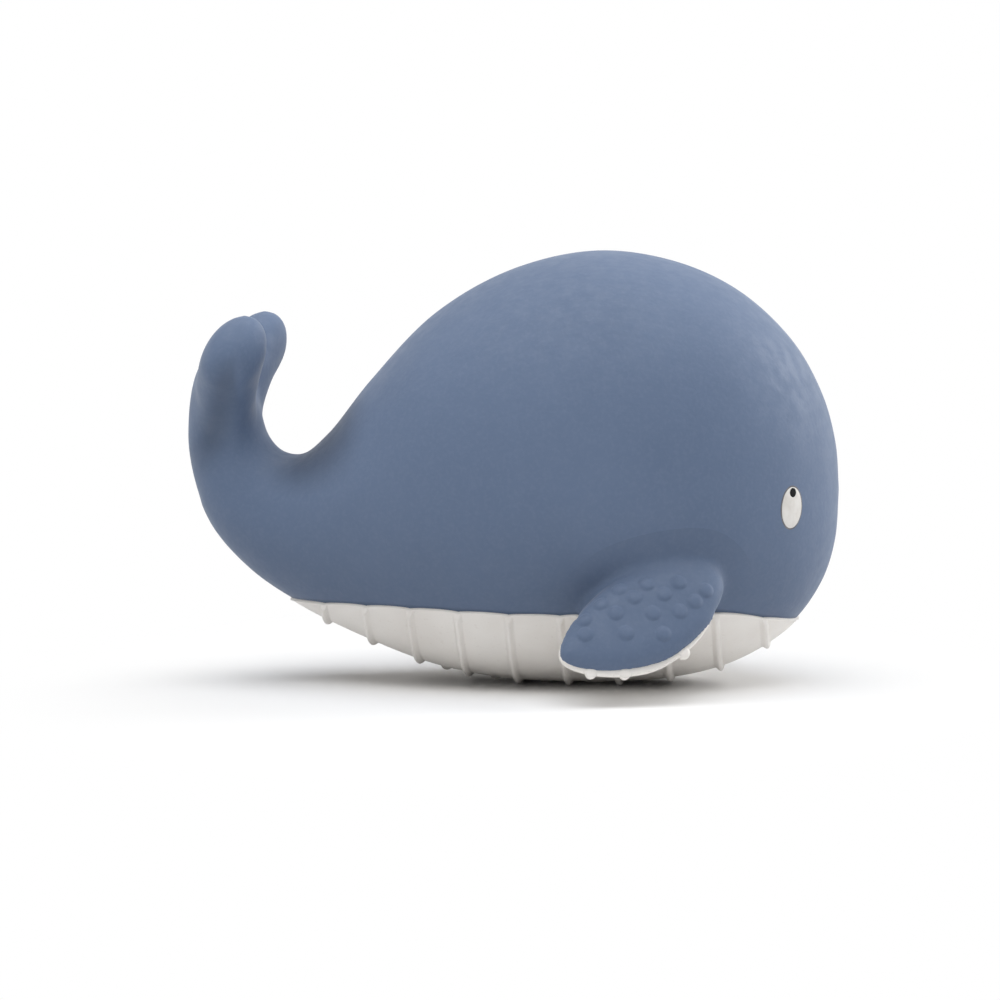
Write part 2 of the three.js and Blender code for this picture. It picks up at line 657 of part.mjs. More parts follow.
// Plug: a flush cap in a counterbore and a stem through the wall. Its own height runs outwards.
function plugSolid(gap) {
  const mouth = gap > 0 ? PLUG_CAP_DEPTH : 0;
  const profile = [
    [0, -PLUG_STEM_LENGTH - gap],
    [PLUG_STEM_RADIUS + gap, -PLUG_STEM_LENGTH - gap],
    [PLUG_STEM_RADIUS + gap, -PLUG_CAP_DEPTH - gap],
    [PLUG_CAP_RADIUS + gap, -PLUG_CAP_DEPTH - gap],
    [PLUG_CAP_RADIUS + gap, mouth],
    [0, mouth],
  ].map(([radius, height]) => new THREE.Vector2(radius, height));
  const lathe = new THREE.LatheGeometry(profile, PLUG_SIDES).rotateX(Math.PI / 2);
  return solidOf(placed(lathe, plugSeat.point, plugSeat.normal));
}

const cavityStations = stationsBetween(0, CAVITY_END, 1);
const cavity = lineSolid(cavityStations, evenAngles(CAVITY_SIDES), () => -WALL);
const belowFloor = solidOf(new THREE.BoxGeometry(FAR, FAR, FAR).translate(0, 0, -FAR / 2));

let belly = lineSolid(bellyMarks.map(({ station }) => station), bellyRing, bellyOffset);
belly = belly.intersect(blockBelowParting(-BOND_GAP / 2)).subtract(cavity);
KEEL_NUB_BAYS.forEach((bay) => {
  const { point, normal } = keelPlace(bayRun(bay));
  belly = belly.add(solidOf(placed(nub, point, normal)));
});
belly = belly.subtract(belowFloor).subtract(plugSolid(SEAT_GAP));

// Back: the body line and both fin roots above the parting plane, hollowed, with sockets and eye pockets

const back = grownBody(0).add(fixedRoot).add(mirrored(fixedRoot))
  .subtract(blockBelowParting(BOND_GAP / 2))
  .subtract(cavity)
  .subtract(rootSocket)
  .subtract(mirrored(rootSocket))
  .subtract(stemSpindle(FLUKE_GAP))
  .subtract(eyePocket)
  .subtract(mirrored(eyePocket));

// Assembly

const finishes = {
  blue: { color: PAINT_BLUE, roughness: 0.72, metalness: 0 },
  cream: { color: RUBBER_CREAM, roughness: 0.66, metalness: 0 },
  white: { color: EYE_WHITE, roughness: 0.55, metalness: 0 },
  black: { color: PUPIL_BLACK, roughness: 0.45, metalness: 0 },
};
const whale = new THREE.Group();
whale.name = 'whale_teether';

function addPiece(name, solid, finish) {
  const mesh = new THREE.Mesh(geometryOf(solid), new THREE.MeshStandardMaterial(finishes[finish]));
  mesh.name = name;
  whale.add(mesh);
}

addPiece('back_shell', back, 'blue');
addPiece('belly_shell', belly, 'cream');
addPiece('pour_hole_plug', plugSolid(0), 'cream');
addPiece('tail_flukes', tailFlukes, 'blue');
addPiece('right_fin_top', finTop, 'blue');
addPiece('right_fin_underside', finUnderside, 'cream');
addPiece('left_fin_top', mirrored(finTop), 'blue');
addPiece('left_fin_underside', mirrored(finUnderside), 'cream');
addPiece('right_eye', eye, 'white');
addPiece('left_eye', mirrored(eye), 'white');
addPiece('right_pupil', pupil, 'black');
addPiece('left_pupil', mirrored(pupil), 'black');

export default whale;
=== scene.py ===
"""Whale teething toy: natural rubber, slush moulded, with a painted back and a bare ribbed belly.

Metres. +X is the snout, +Y the whale's left, +Z up, and the floor is Z = 0.
"""
import math

import bpy
import numpy as np
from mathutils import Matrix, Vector
from mathutils.bvhtree import BVHTree


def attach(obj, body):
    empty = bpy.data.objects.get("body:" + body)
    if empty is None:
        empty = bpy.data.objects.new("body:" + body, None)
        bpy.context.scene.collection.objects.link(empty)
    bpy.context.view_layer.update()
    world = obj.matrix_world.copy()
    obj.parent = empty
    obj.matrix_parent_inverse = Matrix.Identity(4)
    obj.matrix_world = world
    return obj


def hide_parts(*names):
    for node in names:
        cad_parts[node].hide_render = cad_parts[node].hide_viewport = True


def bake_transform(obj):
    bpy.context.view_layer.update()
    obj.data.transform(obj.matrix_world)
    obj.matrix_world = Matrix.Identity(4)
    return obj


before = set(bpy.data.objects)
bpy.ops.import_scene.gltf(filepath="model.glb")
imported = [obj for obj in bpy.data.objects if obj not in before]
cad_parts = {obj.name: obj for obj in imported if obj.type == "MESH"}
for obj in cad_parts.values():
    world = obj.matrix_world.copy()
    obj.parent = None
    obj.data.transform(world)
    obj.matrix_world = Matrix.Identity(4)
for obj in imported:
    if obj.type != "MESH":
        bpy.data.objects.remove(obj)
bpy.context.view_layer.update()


# Body line
# The hollow body is cast in one plaster mould: an egg of a head, a body that narrows and a stem that curls
# up. Two rails, one along the back and one along the belly, carry its nearly elliptical sections.
SNOUT_X, SNOUT_Z = 0.055, 0.033
CROWN_X, CROWN_Z, KEEL_Z = 0.014, 0.073, 0.00075
HEAD_REACH, HEAD_HALF_WIDTH, TAIL_REACH = 0.041, 0.032, 0.069
BROW_FULLNESS, THROAT_FULLNESS, SECTION_FULLNESS = 2.12, 2.48, 2.15
HEAD_ANGLES = (10, 22, 37, 55, 72, 90)
# Reach and rise of the back line, reach and rise of the belly line and the half width, as shares.
REAR_SECTIONS = (
    (0.2030, 0.9575, 0.2030, 0.0151, 0.9560),
    (0.3913, 0.8562, 0.3841, 0.0452, 0.8220),
    (0.5507, 0.7000, 0.5580, 0.1055, 0.6340),
    (0.6551, 0.5767, 0.7246, 0.1808, 0.4690),
    (0.7217, 0.5274, 0.8507, 0.2603, 0.3625),
    (0.7739, 0.5342, 0.9478, 0.3644, 0.2940),
    (0.8087, 0.5712, 0.9975, 0.4959, 0.2560),
    (0.8232, 0.6219, 1.0062, 0.6164, 0.2375),
    (0.8290, 0.6658, 0.9955, 0.6890, 0.2410),
    (0.8406, 0.7123, 0.9720, 0.7470, 0.2220),
    (0.8551, 0.7425, 0.9188, 0.7685, 0.1180),
    (0.8855, 0.7644, 0.8855, 0.7644, 0.0000),
)


def head_section(degrees):
    forward = math.cos(math.radians(degrees))
    rise = (1 - forward ** BROW_FULLNESS) ** (1 / BROW_FULLNESS)
    drop = (1 - forward ** THROAT_FULLNESS) ** (1 / THROAT_FULLNESS)
    x = CROWN_X + HEAD_REACH * forward
    brow = SNOUT_Z + (CROWN_Z - SNOUT_Z) * rise
    throat = SNOUT_Z - (SNOUT_Z - KEEL_Z) * drop
    return x, brow, x, throat, HEAD_HALF_WIDTH * math.sin(math.radians(degrees))


sections = [(SNOUT_X, SNOUT_Z, SNOUT_X, SNOUT_Z, 0)]
sections += [head_section(degrees) for degrees in HEAD_ANGLES]
sections += [
    (CROWN_X - TAIL_REACH * a, CROWN_Z * b, CROWN_X - TAIL_REACH * c, CROWN_Z * d, HEAD_HALF_WIDTH * w)
    for a, b, c, d, w in REAR_SECTIONS
]
sections = np.array(sections)
back_rail = sections[:, [0, 4, 1]]
belly_rail = sections[:, [2, 4, 3]]


def unit(vectors):
    return vectors / np.maximum(np.linalg.norm(vectors, axis=-1, keepdims=True), 1e-12)


def spline(points, shares):
    """Points of a smooth curve through all given points, at shares of their count."""
    points = np.asarray(points, float)
    place = np.clip(np.asarray(shares, float), 0, 1) * (len(points) - 1)
    i = np.minimum(place.astype(int), len(points) - 2)
    w = (place - i)[:, None]
    row = np.vstack([2 * points[0] - points[1], points, 2 * points[-1] - points[-2]])
    p0, p1, p2, p3 = (row[i + k] for k in range(4))

    def knot(a, b):
        return np.maximum(np.linalg.norm(a - b, axis=1, keepdims=True), 1e-9) ** 0.5

    d0, d1, d2 = knot(p0, p1), knot(p1, p2), knot(p2, p3)
    t1 = ((p1 - p0) / d0 - (p2 - p0) / (d0 + d1) + (p2 - p1) / d1) * d1
    t2 = ((p2 - p1) / d1 - (p3 - p1) / (d1 + d2) + (p3 - p2) / d2) * d1
    return p1 + t1 * w + (3 * (p2 - p1) - 2 * t1 - t2) * w ** 2 + (2 * (p1 - p2) + t1 + t2) * w ** 3


def rounded(values, fullness=SECTION_FULLNESS):
    return np.sign(values) * np.abs(values) ** (2 / fullness)


def body_line(station, angle):
    """Points of the body. The angle runs from the back through the left side to the belly."""
    station, angle = np.broadcast_arrays(station, angle)
    back = spline(back_rail, station.ravel())
    belly = spline(belly_rail, station.ravel())
    points = (back + belly) / 2 + (back - belly) / 2 * rounded(np.cos(angle)).reshape(-1, 1)
    points[:, 1] = np.maximum(back[:, 1] + belly[:, 1], 0) / 2 * rounded(np.sin(angle)).ravel()
    return points.reshape(station.shape + (3,))


def body_normal(station, angle, step=1e-3):
    forward = body_line(np.minimum(station + step, 1), angle)
    along = forward - body_line(np.maximum(station - step, step), angle)
    around = body_line(station, angle + step) - body_line(station, angle - step)
    return unit(np.cross(around, along))


def skin(rings):
    """Points and faces of a closed skin through rings. A ring of one point is a pole."""
    points, faces, start = [], [], 0
    for i, ring in enumerate(rings):
        points.extend(ring)
        if i:
            before, count = len(rings[i - 1]), len(ring)
            for k in range(max(before, count)):
                a, b = start - before + k % before, start - before + (k + 1) % before
                c, d = start + (k + 1) % count, start + k % count
                faces.append([n for j, n in enumerate((a, b, c, d)) if n not in (a, b, c, d)[:j]])
        start += len(ring)
    return np.array(points), faces


def full_turn(sides):
    return np.linspace(0, 2 * math.pi, sides, endpoint=False)


BODY_RINGS, BODY_SIDES = 216, 120
body_stations = np.linspace(0, 1, BODY_RINGS + 1)
body_rings = list(body_line(body_stations[:, None], full_turn(BODY_SIDES)[None, :]))
body_rings[0], body_rings[-1] = body_rings[0][:1], body_rings[-1][:1]
body_skin = skin(body_rings)


# Tail lobes
# Two thick paddles of solid rubber grow out of the stem and part at a notch. They are cast with the body,
# so the skin runs over from one to the other in soft hollows.
STEM_PLACE = np.array([-0.04889, 0, 0.045198])
LOBE_LEAN, LOBE_SPREAD, LOBE_RISE = 0.0044, 0.018, 0.0124
# The middle line of a lobe, from the stem to the tip, as shares of lean, spread and rise.
LOBE_PATH = ((0, 0.11, 0), (0.2, 0.33, 0.4), (0.55, 0.6, 0.72), (0.85, 0.82, 0.9), (1, 1, 1))
LOBE_TILT = math.radians(26)
LOBE_HALF_THICKNESS = (0.0047, 0.0052, 0.0045)
LOBE_HALF_WIDTH = (0.0040, 0.0078, 0.0068)
LOBE_SWELL, LOBE_ROUND_FROM = 1.15, 0.66
LOBE_RINGS, LOBE_SIDES, LOBE_CROWDING, LOBE_STEP = 48, 56, 1.6, 1e-3

lobe_shares = 1 - (1 - np.linspace(0, 1, LOBE_RINGS)) ** LOBE_CROWDING
lobe_path = STEM_PLACE + np.array(LOBE_PATH) * (LOBE_LEAN, -LOBE_SPREAD, LOBE_RISE)
lobe_centres = spline(lobe_path, lobe_shares)
lobe_ahead = unit(spline(lobe_path, lobe_shares + LOBE_STEP) - spline(lobe_path, lobe_shares - LOBE_STEP))
lobe_across = unit(np.array([1.0, 0, 0]) - lobe_ahead * lobe_ahead[:, :1])
lobe_beside = np.cross(lobe_ahead, lobe_across)
lobe_across, lobe_beside = (
    lobe_across * math.cos(LOBE_TILT) - lobe_beside * math.sin(LOBE_TILT),
    lobe_beside * math.cos(LOBE_TILT) + lobe_across * math.sin(LOBE_TILT),
)
lobe_round = np.sqrt(1 - (np.maximum(lobe_shares - LOBE_ROUND_FROM, 0) / (1 - LOBE_ROUND_FROM)) ** 2)


def swelled(sizes):
    s = lobe_shares
    arc = (1 - s) ** 2 * sizes[0] + 2 * s * (1 - s) * sizes[1] * LOBE_SWELL + s ** 2 * sizes[2]
    return (arc * lobe_round)[:, None, None]


lobe_angles = full_turn(LOBE_SIDES)[None, :, None]
lobe_rings = list(
    lobe_centres[:, None] + lobe_across[:, None] * swelled(LOBE_HALF_THICKNESS) * np.cos(lobe_angles)
    + lobe_beside[:, None] * swelled(LOBE_HALF_WIDTH) * np.sin(lobe_angles)
)
lobe_skin = skin([lobe_centres[:1], *lobe_rings[:-1], lobe_centres[-1:]])

# Below each lobe the stem widens towards it, from a place inside the stem to one ring of the lobe.
LOBE_ROOT = np.array([-0.0485, -0.0010, 0.0350])
LOBE_ROOT_RING, LOBE_ROOT_SIZE, LOBE_ROOT_RINGS = 15, 0.45, 12
lobe_meets = lobe_rings[LOBE_ROOT_RING]
stem_ring = LOBE_ROOT + (lobe_meets - lobe_centres[LOBE_ROOT_RING]) * LOBE_ROOT_SIZE
root_shares = np.linspace(0, 1, LOBE_ROOT_RINGS)
root_rings = [stem_ring + (lobe_meets - stem_ring) * share for share in root_shares]
root_skin = skin([LOBE_ROOT[None], *root_rings, lobe_centres[LOBE_ROOT_RING][None]])


# Fin leaves
# Each fin is a pointed leaf of solid rubber that droops from the flank, rounder in front at its root. The
# painted upper half is domed on a flat joint; places on it are given along the root, out and up.
FIN_ORIGIN = np.array([0.026303, -0.030191, 0.018086])
FIN_YAW, FIN_DROOP = math.radians(11.5), math.radians(60)
FIN_ALONG = np.array([-math.cos(FIN_YAW), -math.sin(FIN_YAW), 0])
FIN_ASIDE = np.array([math.sin(FIN_YAW), -math.cos(FIN_YAW), 0])
FIN_OUT = FIN_ASIDE * math.cos(FIN_DROOP) - np.array([0, 0, math.sin(FIN_DROOP)])
FIN_UP = FIN_ASIDE * math.sin(FIN_DROOP) + np.array([0, 0, math.cos(FIN_DROOP)])
FIN_LENGTH, FIN_WIDTH, FIN_THICKNESS = 0.03075, 0.01564, 0.0048
FIN_SWEEP = math.radians(25.85)
FIN_CENTRE = (0.00287, 0.00505)
FIN_FULLNESS, POINTED_SIDE, ROUND_SIDE = 4, 1.6, 2.4
FIN_LAP = 0.0003
LEAF_SIDES, LEAF_RINGS, LEAF_LAST_TURN = 120, 40, 0.03


def fin_point(along, out, up):
    along, out, up = (np.asarray(value, float)[..., None] for value in (along, out, up))
    return FIN_ORIGIN + FIN_ALONG * along + FIN_OUT * out + FIN_UP * up


def leaf_half(share):
    return FIN_THICKNESS / 2 * np.sqrt(np.maximum(1 - share ** FIN_FULLNESS, 0))


def leaf_share(along, out):
    x, y = along - FIN_CENTRE[0], out - FIN_CENTRE[1]
    long = (x * math.cos(FIN_SWEEP) + y * math.sin(FIN_SWEEP)) / (FIN_LENGTH / 2)
    wide = (y * math.cos(FIN_SWEEP) - x * math.sin(FIN_SWEEP)) / (FIN_WIDTH / 2)
    side = np.where((long < 0) & (wide < 0), ROUND_SIDE, POINTED_SIDE)
    return (np.abs(long) ** side + np.abs(wide) ** side) ** (1 / side)


def leaf_outline(share, rim):
    angle = full_turn(LEAF_SIDES)
    side = np.where((angle > math.pi) & (angle < 1.5 * math.pi), ROUND_SIDE, POINTED_SIDE)
    long = (FIN_LENGTH / 2 + rim) * share * rounded(np.cos(angle), side)
    wide = (FIN_WIDTH / 2 + rim) * share * rounded(np.sin(angle), side)
    along = FIN_CENTRE[0] + long * math.cos(FIN_SWEEP) - wide * math.sin(FIN_SWEEP)
    out = FIN_CENTRE[1] + long * math.sin(FIN_SWEEP) + wide * math.cos(FIN_SWEEP)
    return along, out


def leaf_ring(share, up, rim=0.0):
    return fin_point(*leaf_outline(share, rim), np.full(LEAF_SIDES, up))


leaf_shares = np.sin(np.linspace(math.pi / 2, LEAF_LAST_TURN, LEAF_RINGS))
leaf_skin = skin([
    fin_point(*FIN_CENTRE, -FIN_LAP)[None],
    leaf_ring(0.5, -FIN_LAP),
    leaf_ring(1, -FIN_LAP),
    *(leaf_ring(share, leaf_half(share)) for share in leaf_shares),
    fin_point(*FIN_CENTRE, leaf_half(0))[None],
])

# Behind the leaf a shoulder of rubber joins it to the flank. The line where the mould parts, which the
# paint ends on, divides the shoulder into a painted and a bare part. Its points run from tail to snout.
PAINT_LINE = (
    (-0.060, 0.0141), (-0.036, 0.0140), (-0.017, 0.0141), (0.005, 0.0136), (0.020, 0.0138), (0.034, 0.0140),
    (0.043, 0.0125), (0.049, 0.0110), (0.060, 0.0085),
)
LINE_POINTS = 400
SHOULDER_TURN = math.radians(5)
SHOULDER_INWARD = np.array([-math.sin(SHOULDER_TURN), math.cos(SHOULDER_TURN), 0])
SHOULDER_DEPTHS = (0, 0.003, 0.006, 0.010, 0.014)
SHOULDER_RIM, SHOULDER_UP, SHOULDER_TAPER = 0.0001, 0.0006, 0.12

paint_line = spline(PAINT_LINE, np.linspace(0, 1, LINE_POINTS))


def parting(x):
    return np.interp(x, paint_line[:, 0], paint_line[:, 1])


def above_parting(points):
    return points[:, 2] - parting(points[:, 0])


def shoulder(rim, up, lowest, highest):
    """The leaf's outline drawn into the flank, kept between two heights above the parting."""
    rings = []
    for depth in SHOULDER_DEPTHS:
        along, out = leaf_outline(1, rim - SHOULDER_TAPER * depth)
        parted = parting(fin_point(along, 0, up)[:, 0]) - fin_point(0, 0, up)[2]
        top, bottom = (parted + highest) / FIN_OUT[2], (parted + lowest) / FIN_OUT[2]
        between = along[(out >= top) & (out <= bottom)]
        along, out = np.clip(along, between.min(), between.max()), np.clip(out, top, bottom)
        rings.append(fin_point(along, out, np.full(LEAF_SIDES, up)) + SHOULDER_INWARD * depth)
    return skin([rings[0].mean(axis=0)[None], *rings, rings[-1].mean(axis=0)[None]])


shoulder_skin = shoulder(SHOULDER_RIM, SHOULDER_UP, lowest=0, highest=CROWN_Z)


# Casting
# Body, lobes and fins come out of the mould as one skin, so they are joined into one here and the corners
# between them are eased into hollows. The skin is then parted where the toy flexes and the paint ends.
SKIN_STEP = 0.00048
FIN_HOLLOW, TAIL_HOLLOW = 0.0042, 0.0110
HOLLOW_ROUNDS, TAIL_ROUNDS, TAIL_SOFT_ROUNDS, POLISH_ROUNDS = 42, 224, 78, 8
EASING_PULL, POLISH_PUSH = 0.5, 0.52
MIRROR = np.array([1, -1, 1])


def both_sides(shape):
    points, faces = shape
    return [(points, faces), (points * MIRROR, [face[::-1] for face in faces])]


def mesh_object(name, points, faces):
    mesh = bpy.data.meshes.new(name)
    mesh.from_pydata(np.asarray(points).tolist(), [], [list(face) for face in faces])
    mesh.shade_smooth()
    piece = bpy.data.objects.new(name, mesh)
    bpy.context.scene.collection.objects.link(piece)
    return piece


def baked(piece):
    """The piece with its modifiers made into plain faces."""
    shown = piece.evaluated_get(bpy.context.evaluated_depsgraph_get())
    mesh = bpy.data.meshes.new_from_object(shown)
    piece.modifiers.clear()
    piece.data = mesh
    mesh.name = piece.name
    return piece


def gaps_to(shape, points):
    tree = BVHTree.FromPolygons(shape[0].tolist(), shape[1])
    return np.array([tree.find_nearest(Vector(p))[3] for p in points])


def point_normals(points, faces):
    a, b, c = (points[faces[:, k]] for k in range(3))
    facing = np.cross(b - a, c - a)
    return unit(np.stack([
        sum(np.bincount(faces[:, k], facing[:, axis], len(points)) for k in range(3)) for axis in range(3)
    ], axis=1))


def relaxed(points, edges, weight, rounds, back=0.0, outward=None):
    """Points drawn to the middle of their neighbours, and pushed back in turn or moved only outwards."""
    count = np.maximum(np.bincount(edges.ravel(), minlength=len(points)), 1)[:, None]
    for turn in range(rounds):
        total = np.stack([
            np.bincount(edges[:, 0], points[edges[:, 1], k], len(points))
            + np.bincount(edges[:, 1], points[edges[:, 0], k], len(points)) for k in range(3)
        ], axis=1)
        pull = -back if back and turn % 2 else weight
        move = np.reshape(pull, (-1, 1)) * (total / count - points)
        if outward is not None:
            move *= np.sum(move * outward, axis=1, keepdims=True) > 0
        points = points + move
    return points


def smooth(values, low, high):
    share = np.clip((values - low) / (high - low), 0, 1)
    return share * share * (3 - 2 * share)


def fused(shapes, step):
    """One skin round several closed shapes: its points, edges and faces."""
    points, faces = np.vstack([shape[0] for shape in shapes]), []
    start = 0
    for shape in shapes:
        faces += [[n + start for n in face] for face in shape[1]]
        start += len(shape[0])
    block = mesh_object("block", points, faces)
    joined = block.modifiers.new("joined", "REMESH")
    joined.mode = "VOXEL"
    joined.voxel_size = step
    mesh = baked(block).data
    mesh.calc_loop_triangles()
    tree = BVHTree.FromPolygons(points.tolist(), faces)
    laid = np.array([tree.find_nearest(v.co)[0] for v in mesh.vertices])
    edges = np.array([edge.vertices for edge in mesh.edges])
    triangles = np.array([face.vertices for face in mesh.loop_triangles])
    bpy.data.objects.remove(block)
    return laid, edges, triangles


skin_points, skin_edges, skin_faces = fused(
    [shape for part in (lobe_skin, root_skin, leaf_skin, shoulder_skin) for shape in both_sides(part)]
    + [body_skin], SKIN_STEP
)

# How far each point is from a fin and from the corners that the fin makes with the flank.
FIN_REGION, FAR_AWAY = 0.030, 1.0
FIN_EASED_RISE = (-0.0002, 0.0014)
right_points = skin_points.copy()
right_points[:, 1] = -np.abs(right_points[:, 1])
near_fin = np.linalg.norm(right_points - FIN_ORIGIN, axis=1) < FIN_REGION
fin_gaps = [gaps_to(shape, right_points[near_fin]) for shape in (leaf_skin, shoulder_skin, body_skin)]
fin_gap = np.full(len(skin_points), FAR_AWAY)
fin_gap[near_fin] = np.minimum(fin_gaps[0], fin_gaps[1])
corner_gap = np.full(len(skin_points), FAR_AWAY)
corner_gap[near_fin] = np.sort(np.stack(fin_gaps), axis=0)[1]
easing = (1 - smooth(corner_gap, 0, FIN_HOLLOW)) * smooth(above_parting(skin_points), *FIN_EASED_RISE)

# The same for the corners between the stem and the two lobes. A gutter runs down the stem from their notch.
TAIL_FRONT_X, TAIL_LOW_Z = -0.038, 0.030
TAIL_EASED_RISE, TAIL_FLANK, TAIL_REAR = (0.041, 0.044), (0.0030, 0.0060), (0.0485, 0.0510)
GUTTER_DEPTH, GUTTER_HALF_WIDTH = 0.0012, 0.0030
GUTTER_RISE, GUTTER_REACH = (0.0440, 0.0530), (-0.0480, -0.0445)
x, y, z = skin_points.T.copy()
near_tail = (x < TAIL_FRONT_X) & (z > TAIL_LOW_Z)
tail_shapes = (body_skin, *both_sides(lobe_skin), *both_sides(root_skin))
tail_gaps = [gaps_to(shape, skin_points[near_tail]) for shape in tail_shapes]
tail_corner = np.sort(np.stack(tail_gaps), axis=0)[1]
flank_easing = np.zeros(len(skin_points))
flank_easing[near_tail] = 1 - smooth(tail_corner, 0, TAIL_HOLLOW)
easing = np.maximum(easing, flank_easing * smooth(z, *TAIL_EASED_RISE))
flank_easing *= np.maximum(smooth(np.abs(y), *TAIL_FLANK), smooth(-x, *TAIL_REAR))
gutter = np.exp(-(y / GUTTER_HALF_WIDTH) ** 2) * near_tail
gutter *= smooth(z, *GUTTER_RISE) * smooth(x, *GUTTER_REACH)
skin_points[:, 0] -= GUTTER_DEPTH * gutter
skin_points = relaxed(skin_points, skin_edges, EASING_PULL * easing, HOLLOW_ROUNDS)
flank_pull, facings = EASING_PULL * flank_easing, point_normals(skin_points, skin_faces)
skin_points = relaxed(skin_points, skin_edges, flank_pull, TAIL_ROUNDS, outward=facings)
skin_points = relaxed(skin_points, skin_edges, flank_pull, TAIL_SOFT_ROUNDS)

# A shallow valley runs down each flank of the stem, from the lobe.
VALLEY_X, VALLEY_Z, VALLEY_ALONG = -0.0480, 0.0478, (0.361, 0.932)
VALLEY_DEPTH, VALLEY_HALF_WIDTH = 0.0013, 0.0026
VALLEY_FOOT, VALLEY_HEAD, VALLEY_FLANK = (0.0370, 0.0430), (0.0560, 0.0500), (0.003, 0.006)


def beside_valley(x, z):
    return (x - VALLEY_X) * VALLEY_ALONG[1] - (z - VALLEY_Z) * VALLEY_ALONG[0]


x, y, z = skin_points.T.copy()
valley = np.exp(-(beside_valley(x, z) / VALLEY_HALF_WIDTH) ** 2) * near_tail
valley *= smooth(z, *VALLEY_FOOT) * smooth(z, *VALLEY_HEAD) * smooth(np.abs(y), *VALLEY_FLANK)
skin_points[:, 1] -= np.sign(y) * VALLEY_DEPTH * valley
skin_points = relaxed(skin_points, skin_edges, EASING_PULL, POLISH_ROUNDS, back=POLISH_PUSH)
skin_normals = point_normals(skin_points, skin_faces)


def cut_skin(points, normals, faces, field, *fields):
    """The part of a skin where the field is positive, cut exactly where it is zero."""
    columns = [points, normals, np.stack([field, *fields], axis=1)]
    inside = field > 0
    kept = inside[faces].sum(axis=1)
    whole = faces[kept == 3]
    split = faces[(kept == 1) | (kept == 2)]
    odd_is_in = inside[split].sum(axis=1) == 1
    odd = np.argmax(inside[split] == odd_is_in[:, None], axis=1)
    turned = np.take_along_axis(split, (odd[:, None] + np.arange(3)) % 3, axis=1)
    pairs = np.vstack([turned[:, [0, 1]], turned[:, [0, 2]]])
    pairs, place = np.unique(np.sort(pairs, axis=1), axis=0, return_inverse=True)
    share = (field[pairs[:, 0]] / (field[pairs[:, 0]] - field[pairs[:, 1]]))[:, None]
    columns = [np.vstack([c, c[pairs[:, 0]] * (1 - share) + c[pairs[:, 1]] * share]) for c in columns]
    ab, ac = len(points) + place.ravel().reshape(2, -1)
    a, b, c = turned.T
    lone = np.stack([a, ab, ac], axis=1)[odd_is_in]
    wide = np.vstack([np.stack([b, c, ac], axis=1), np.stack([b, ac, ab], axis=1)])
    faces = np.vstack([whole, lone, wide[np.tile(~odd_is_in, 2)]])
    used, faces = np.unique(faces, return_inverse=True)
    points, normals, values = (c[used] for c in columns)
    return (points, unit(normals), faces.reshape(-1, 3), *values[:, 1:].T)


# The skin is parted across the stem, in a ring round each fin and a lap below the paint's edge.
TAIL_CUT_PLACE = np.array([-0.0454, 0, 0.0328])
TAIL_CUT_FACING = np.array([-0.719, 0, 0.695])
FIN_RING = 0.0056
PAINT_LAP = 0.0016

tail_field = (skin_points - TAIL_CUT_PLACE) @ TAIL_CUT_FACING
fin_field = FIN_RING - fin_gap
side_field = skin_points[:, 1]
paint_field = above_parting(skin_points) + PAINT_LAP

whole_skin = (skin_points, skin_normals, skin_faces)
tail_skin = cut_skin(*whole_skin, tail_field)
*trunk, fins, sides, paint = cut_skin(*whole_skin, -tail_field, fin_field, side_field, paint_field)
fin_skin = cut_skin(*trunk, fins, sides)
*flank, paint = cut_skin(*trunk, -fins, paint)
back_skin = cut_skin(*flank, paint)


# Back and tail
# The upper skin, from the snout to the tips of the tail, is brushed with matte blue latex paint that keeps
# a faint bloom. The tail is a piece of its own, parted across the stem where the rubber bends and springs
# back.
class Value:
    """A socket of a node tree that takes part in plain sums."""

    def __init__(self, tree, socket):
        self.tree, self.socket = tree, socket

    def maths(self, kind, *others):
        return self.tree.node("ShaderNodeMath", {"operation": kind}, dict(enumerate((self, *others))))

    def __add__(self, other):
        return self.maths("ADD", other)

    def __sub__(self, other):
        return self.maths("SUBTRACT", other)

    def __mul__(self, other):
        return self.maths("MULTIPLY", other)

    def __truediv__(self, other):
        return self.maths("DIVIDE", other)

    def __pow__(self, other):
        return self.maths("POWER", other)

    def __rsub__(self, other):
        return self * -1 + other

    __radd__ = __add__
    __rmul__ = __mul__

    def at_least(self, other):
        return self.maths("MAXIMUM", other)

    def at_most(self, other):
        return self.maths("MINIMUM", other)

    def size(self):
        return self.maths("ABSOLUTE")

    def ramp(self, low, high, start=0.0, end=1.0):
        """From start to end as the value goes from low to high, with soft ends."""
        return self.tree.node(
            "ShaderNodeMapRange", {"interpolation_type": "SMOOTHSTEP"},
            {"Value": self, "From Min": low, "From Max": high, "To Min": start, "To Max": end},
        )


class Tree:
    """A node tree, with one way to add a node."""

    def __init__(self, nodes_of):
        self.nodes, self.links = nodes_of.nodes, nodes_of.links

    def node(self, kind, settings=None, sockets=None, out=0):
        made = self.nodes.new(kind)
        for name, value in (settings or {}).items():
            setattr(made, name, value)
        for name, value in (sockets or {}).items():
            if isinstance(value, Value):
                self.links.new(value.socket, made.inputs[name])
            else:
                made.inputs[name].default_value = value
        return Value(self, made.outputs[out]) if made.outputs else made

    def parts(self, place):
        split = self.node("ShaderNodeSeparateXYZ", {}, {0: place}).socket.node
        return [Value(self, socket) for socket in split.outputs]

    def noise(self, place, scale, detail=2.0):
        return self.node("ShaderNodeTexNoise", {}, {"Vector": place, "Scale": scale, "Detail": detail})

    def mixed(self, factor, first, second):
        """First colour where the factor is 0, second where it is 1."""
        return self.node("ShaderNodeMix", {"data_type": "RGBA"}, {0: factor, 6: first, 7: second}, out=2)


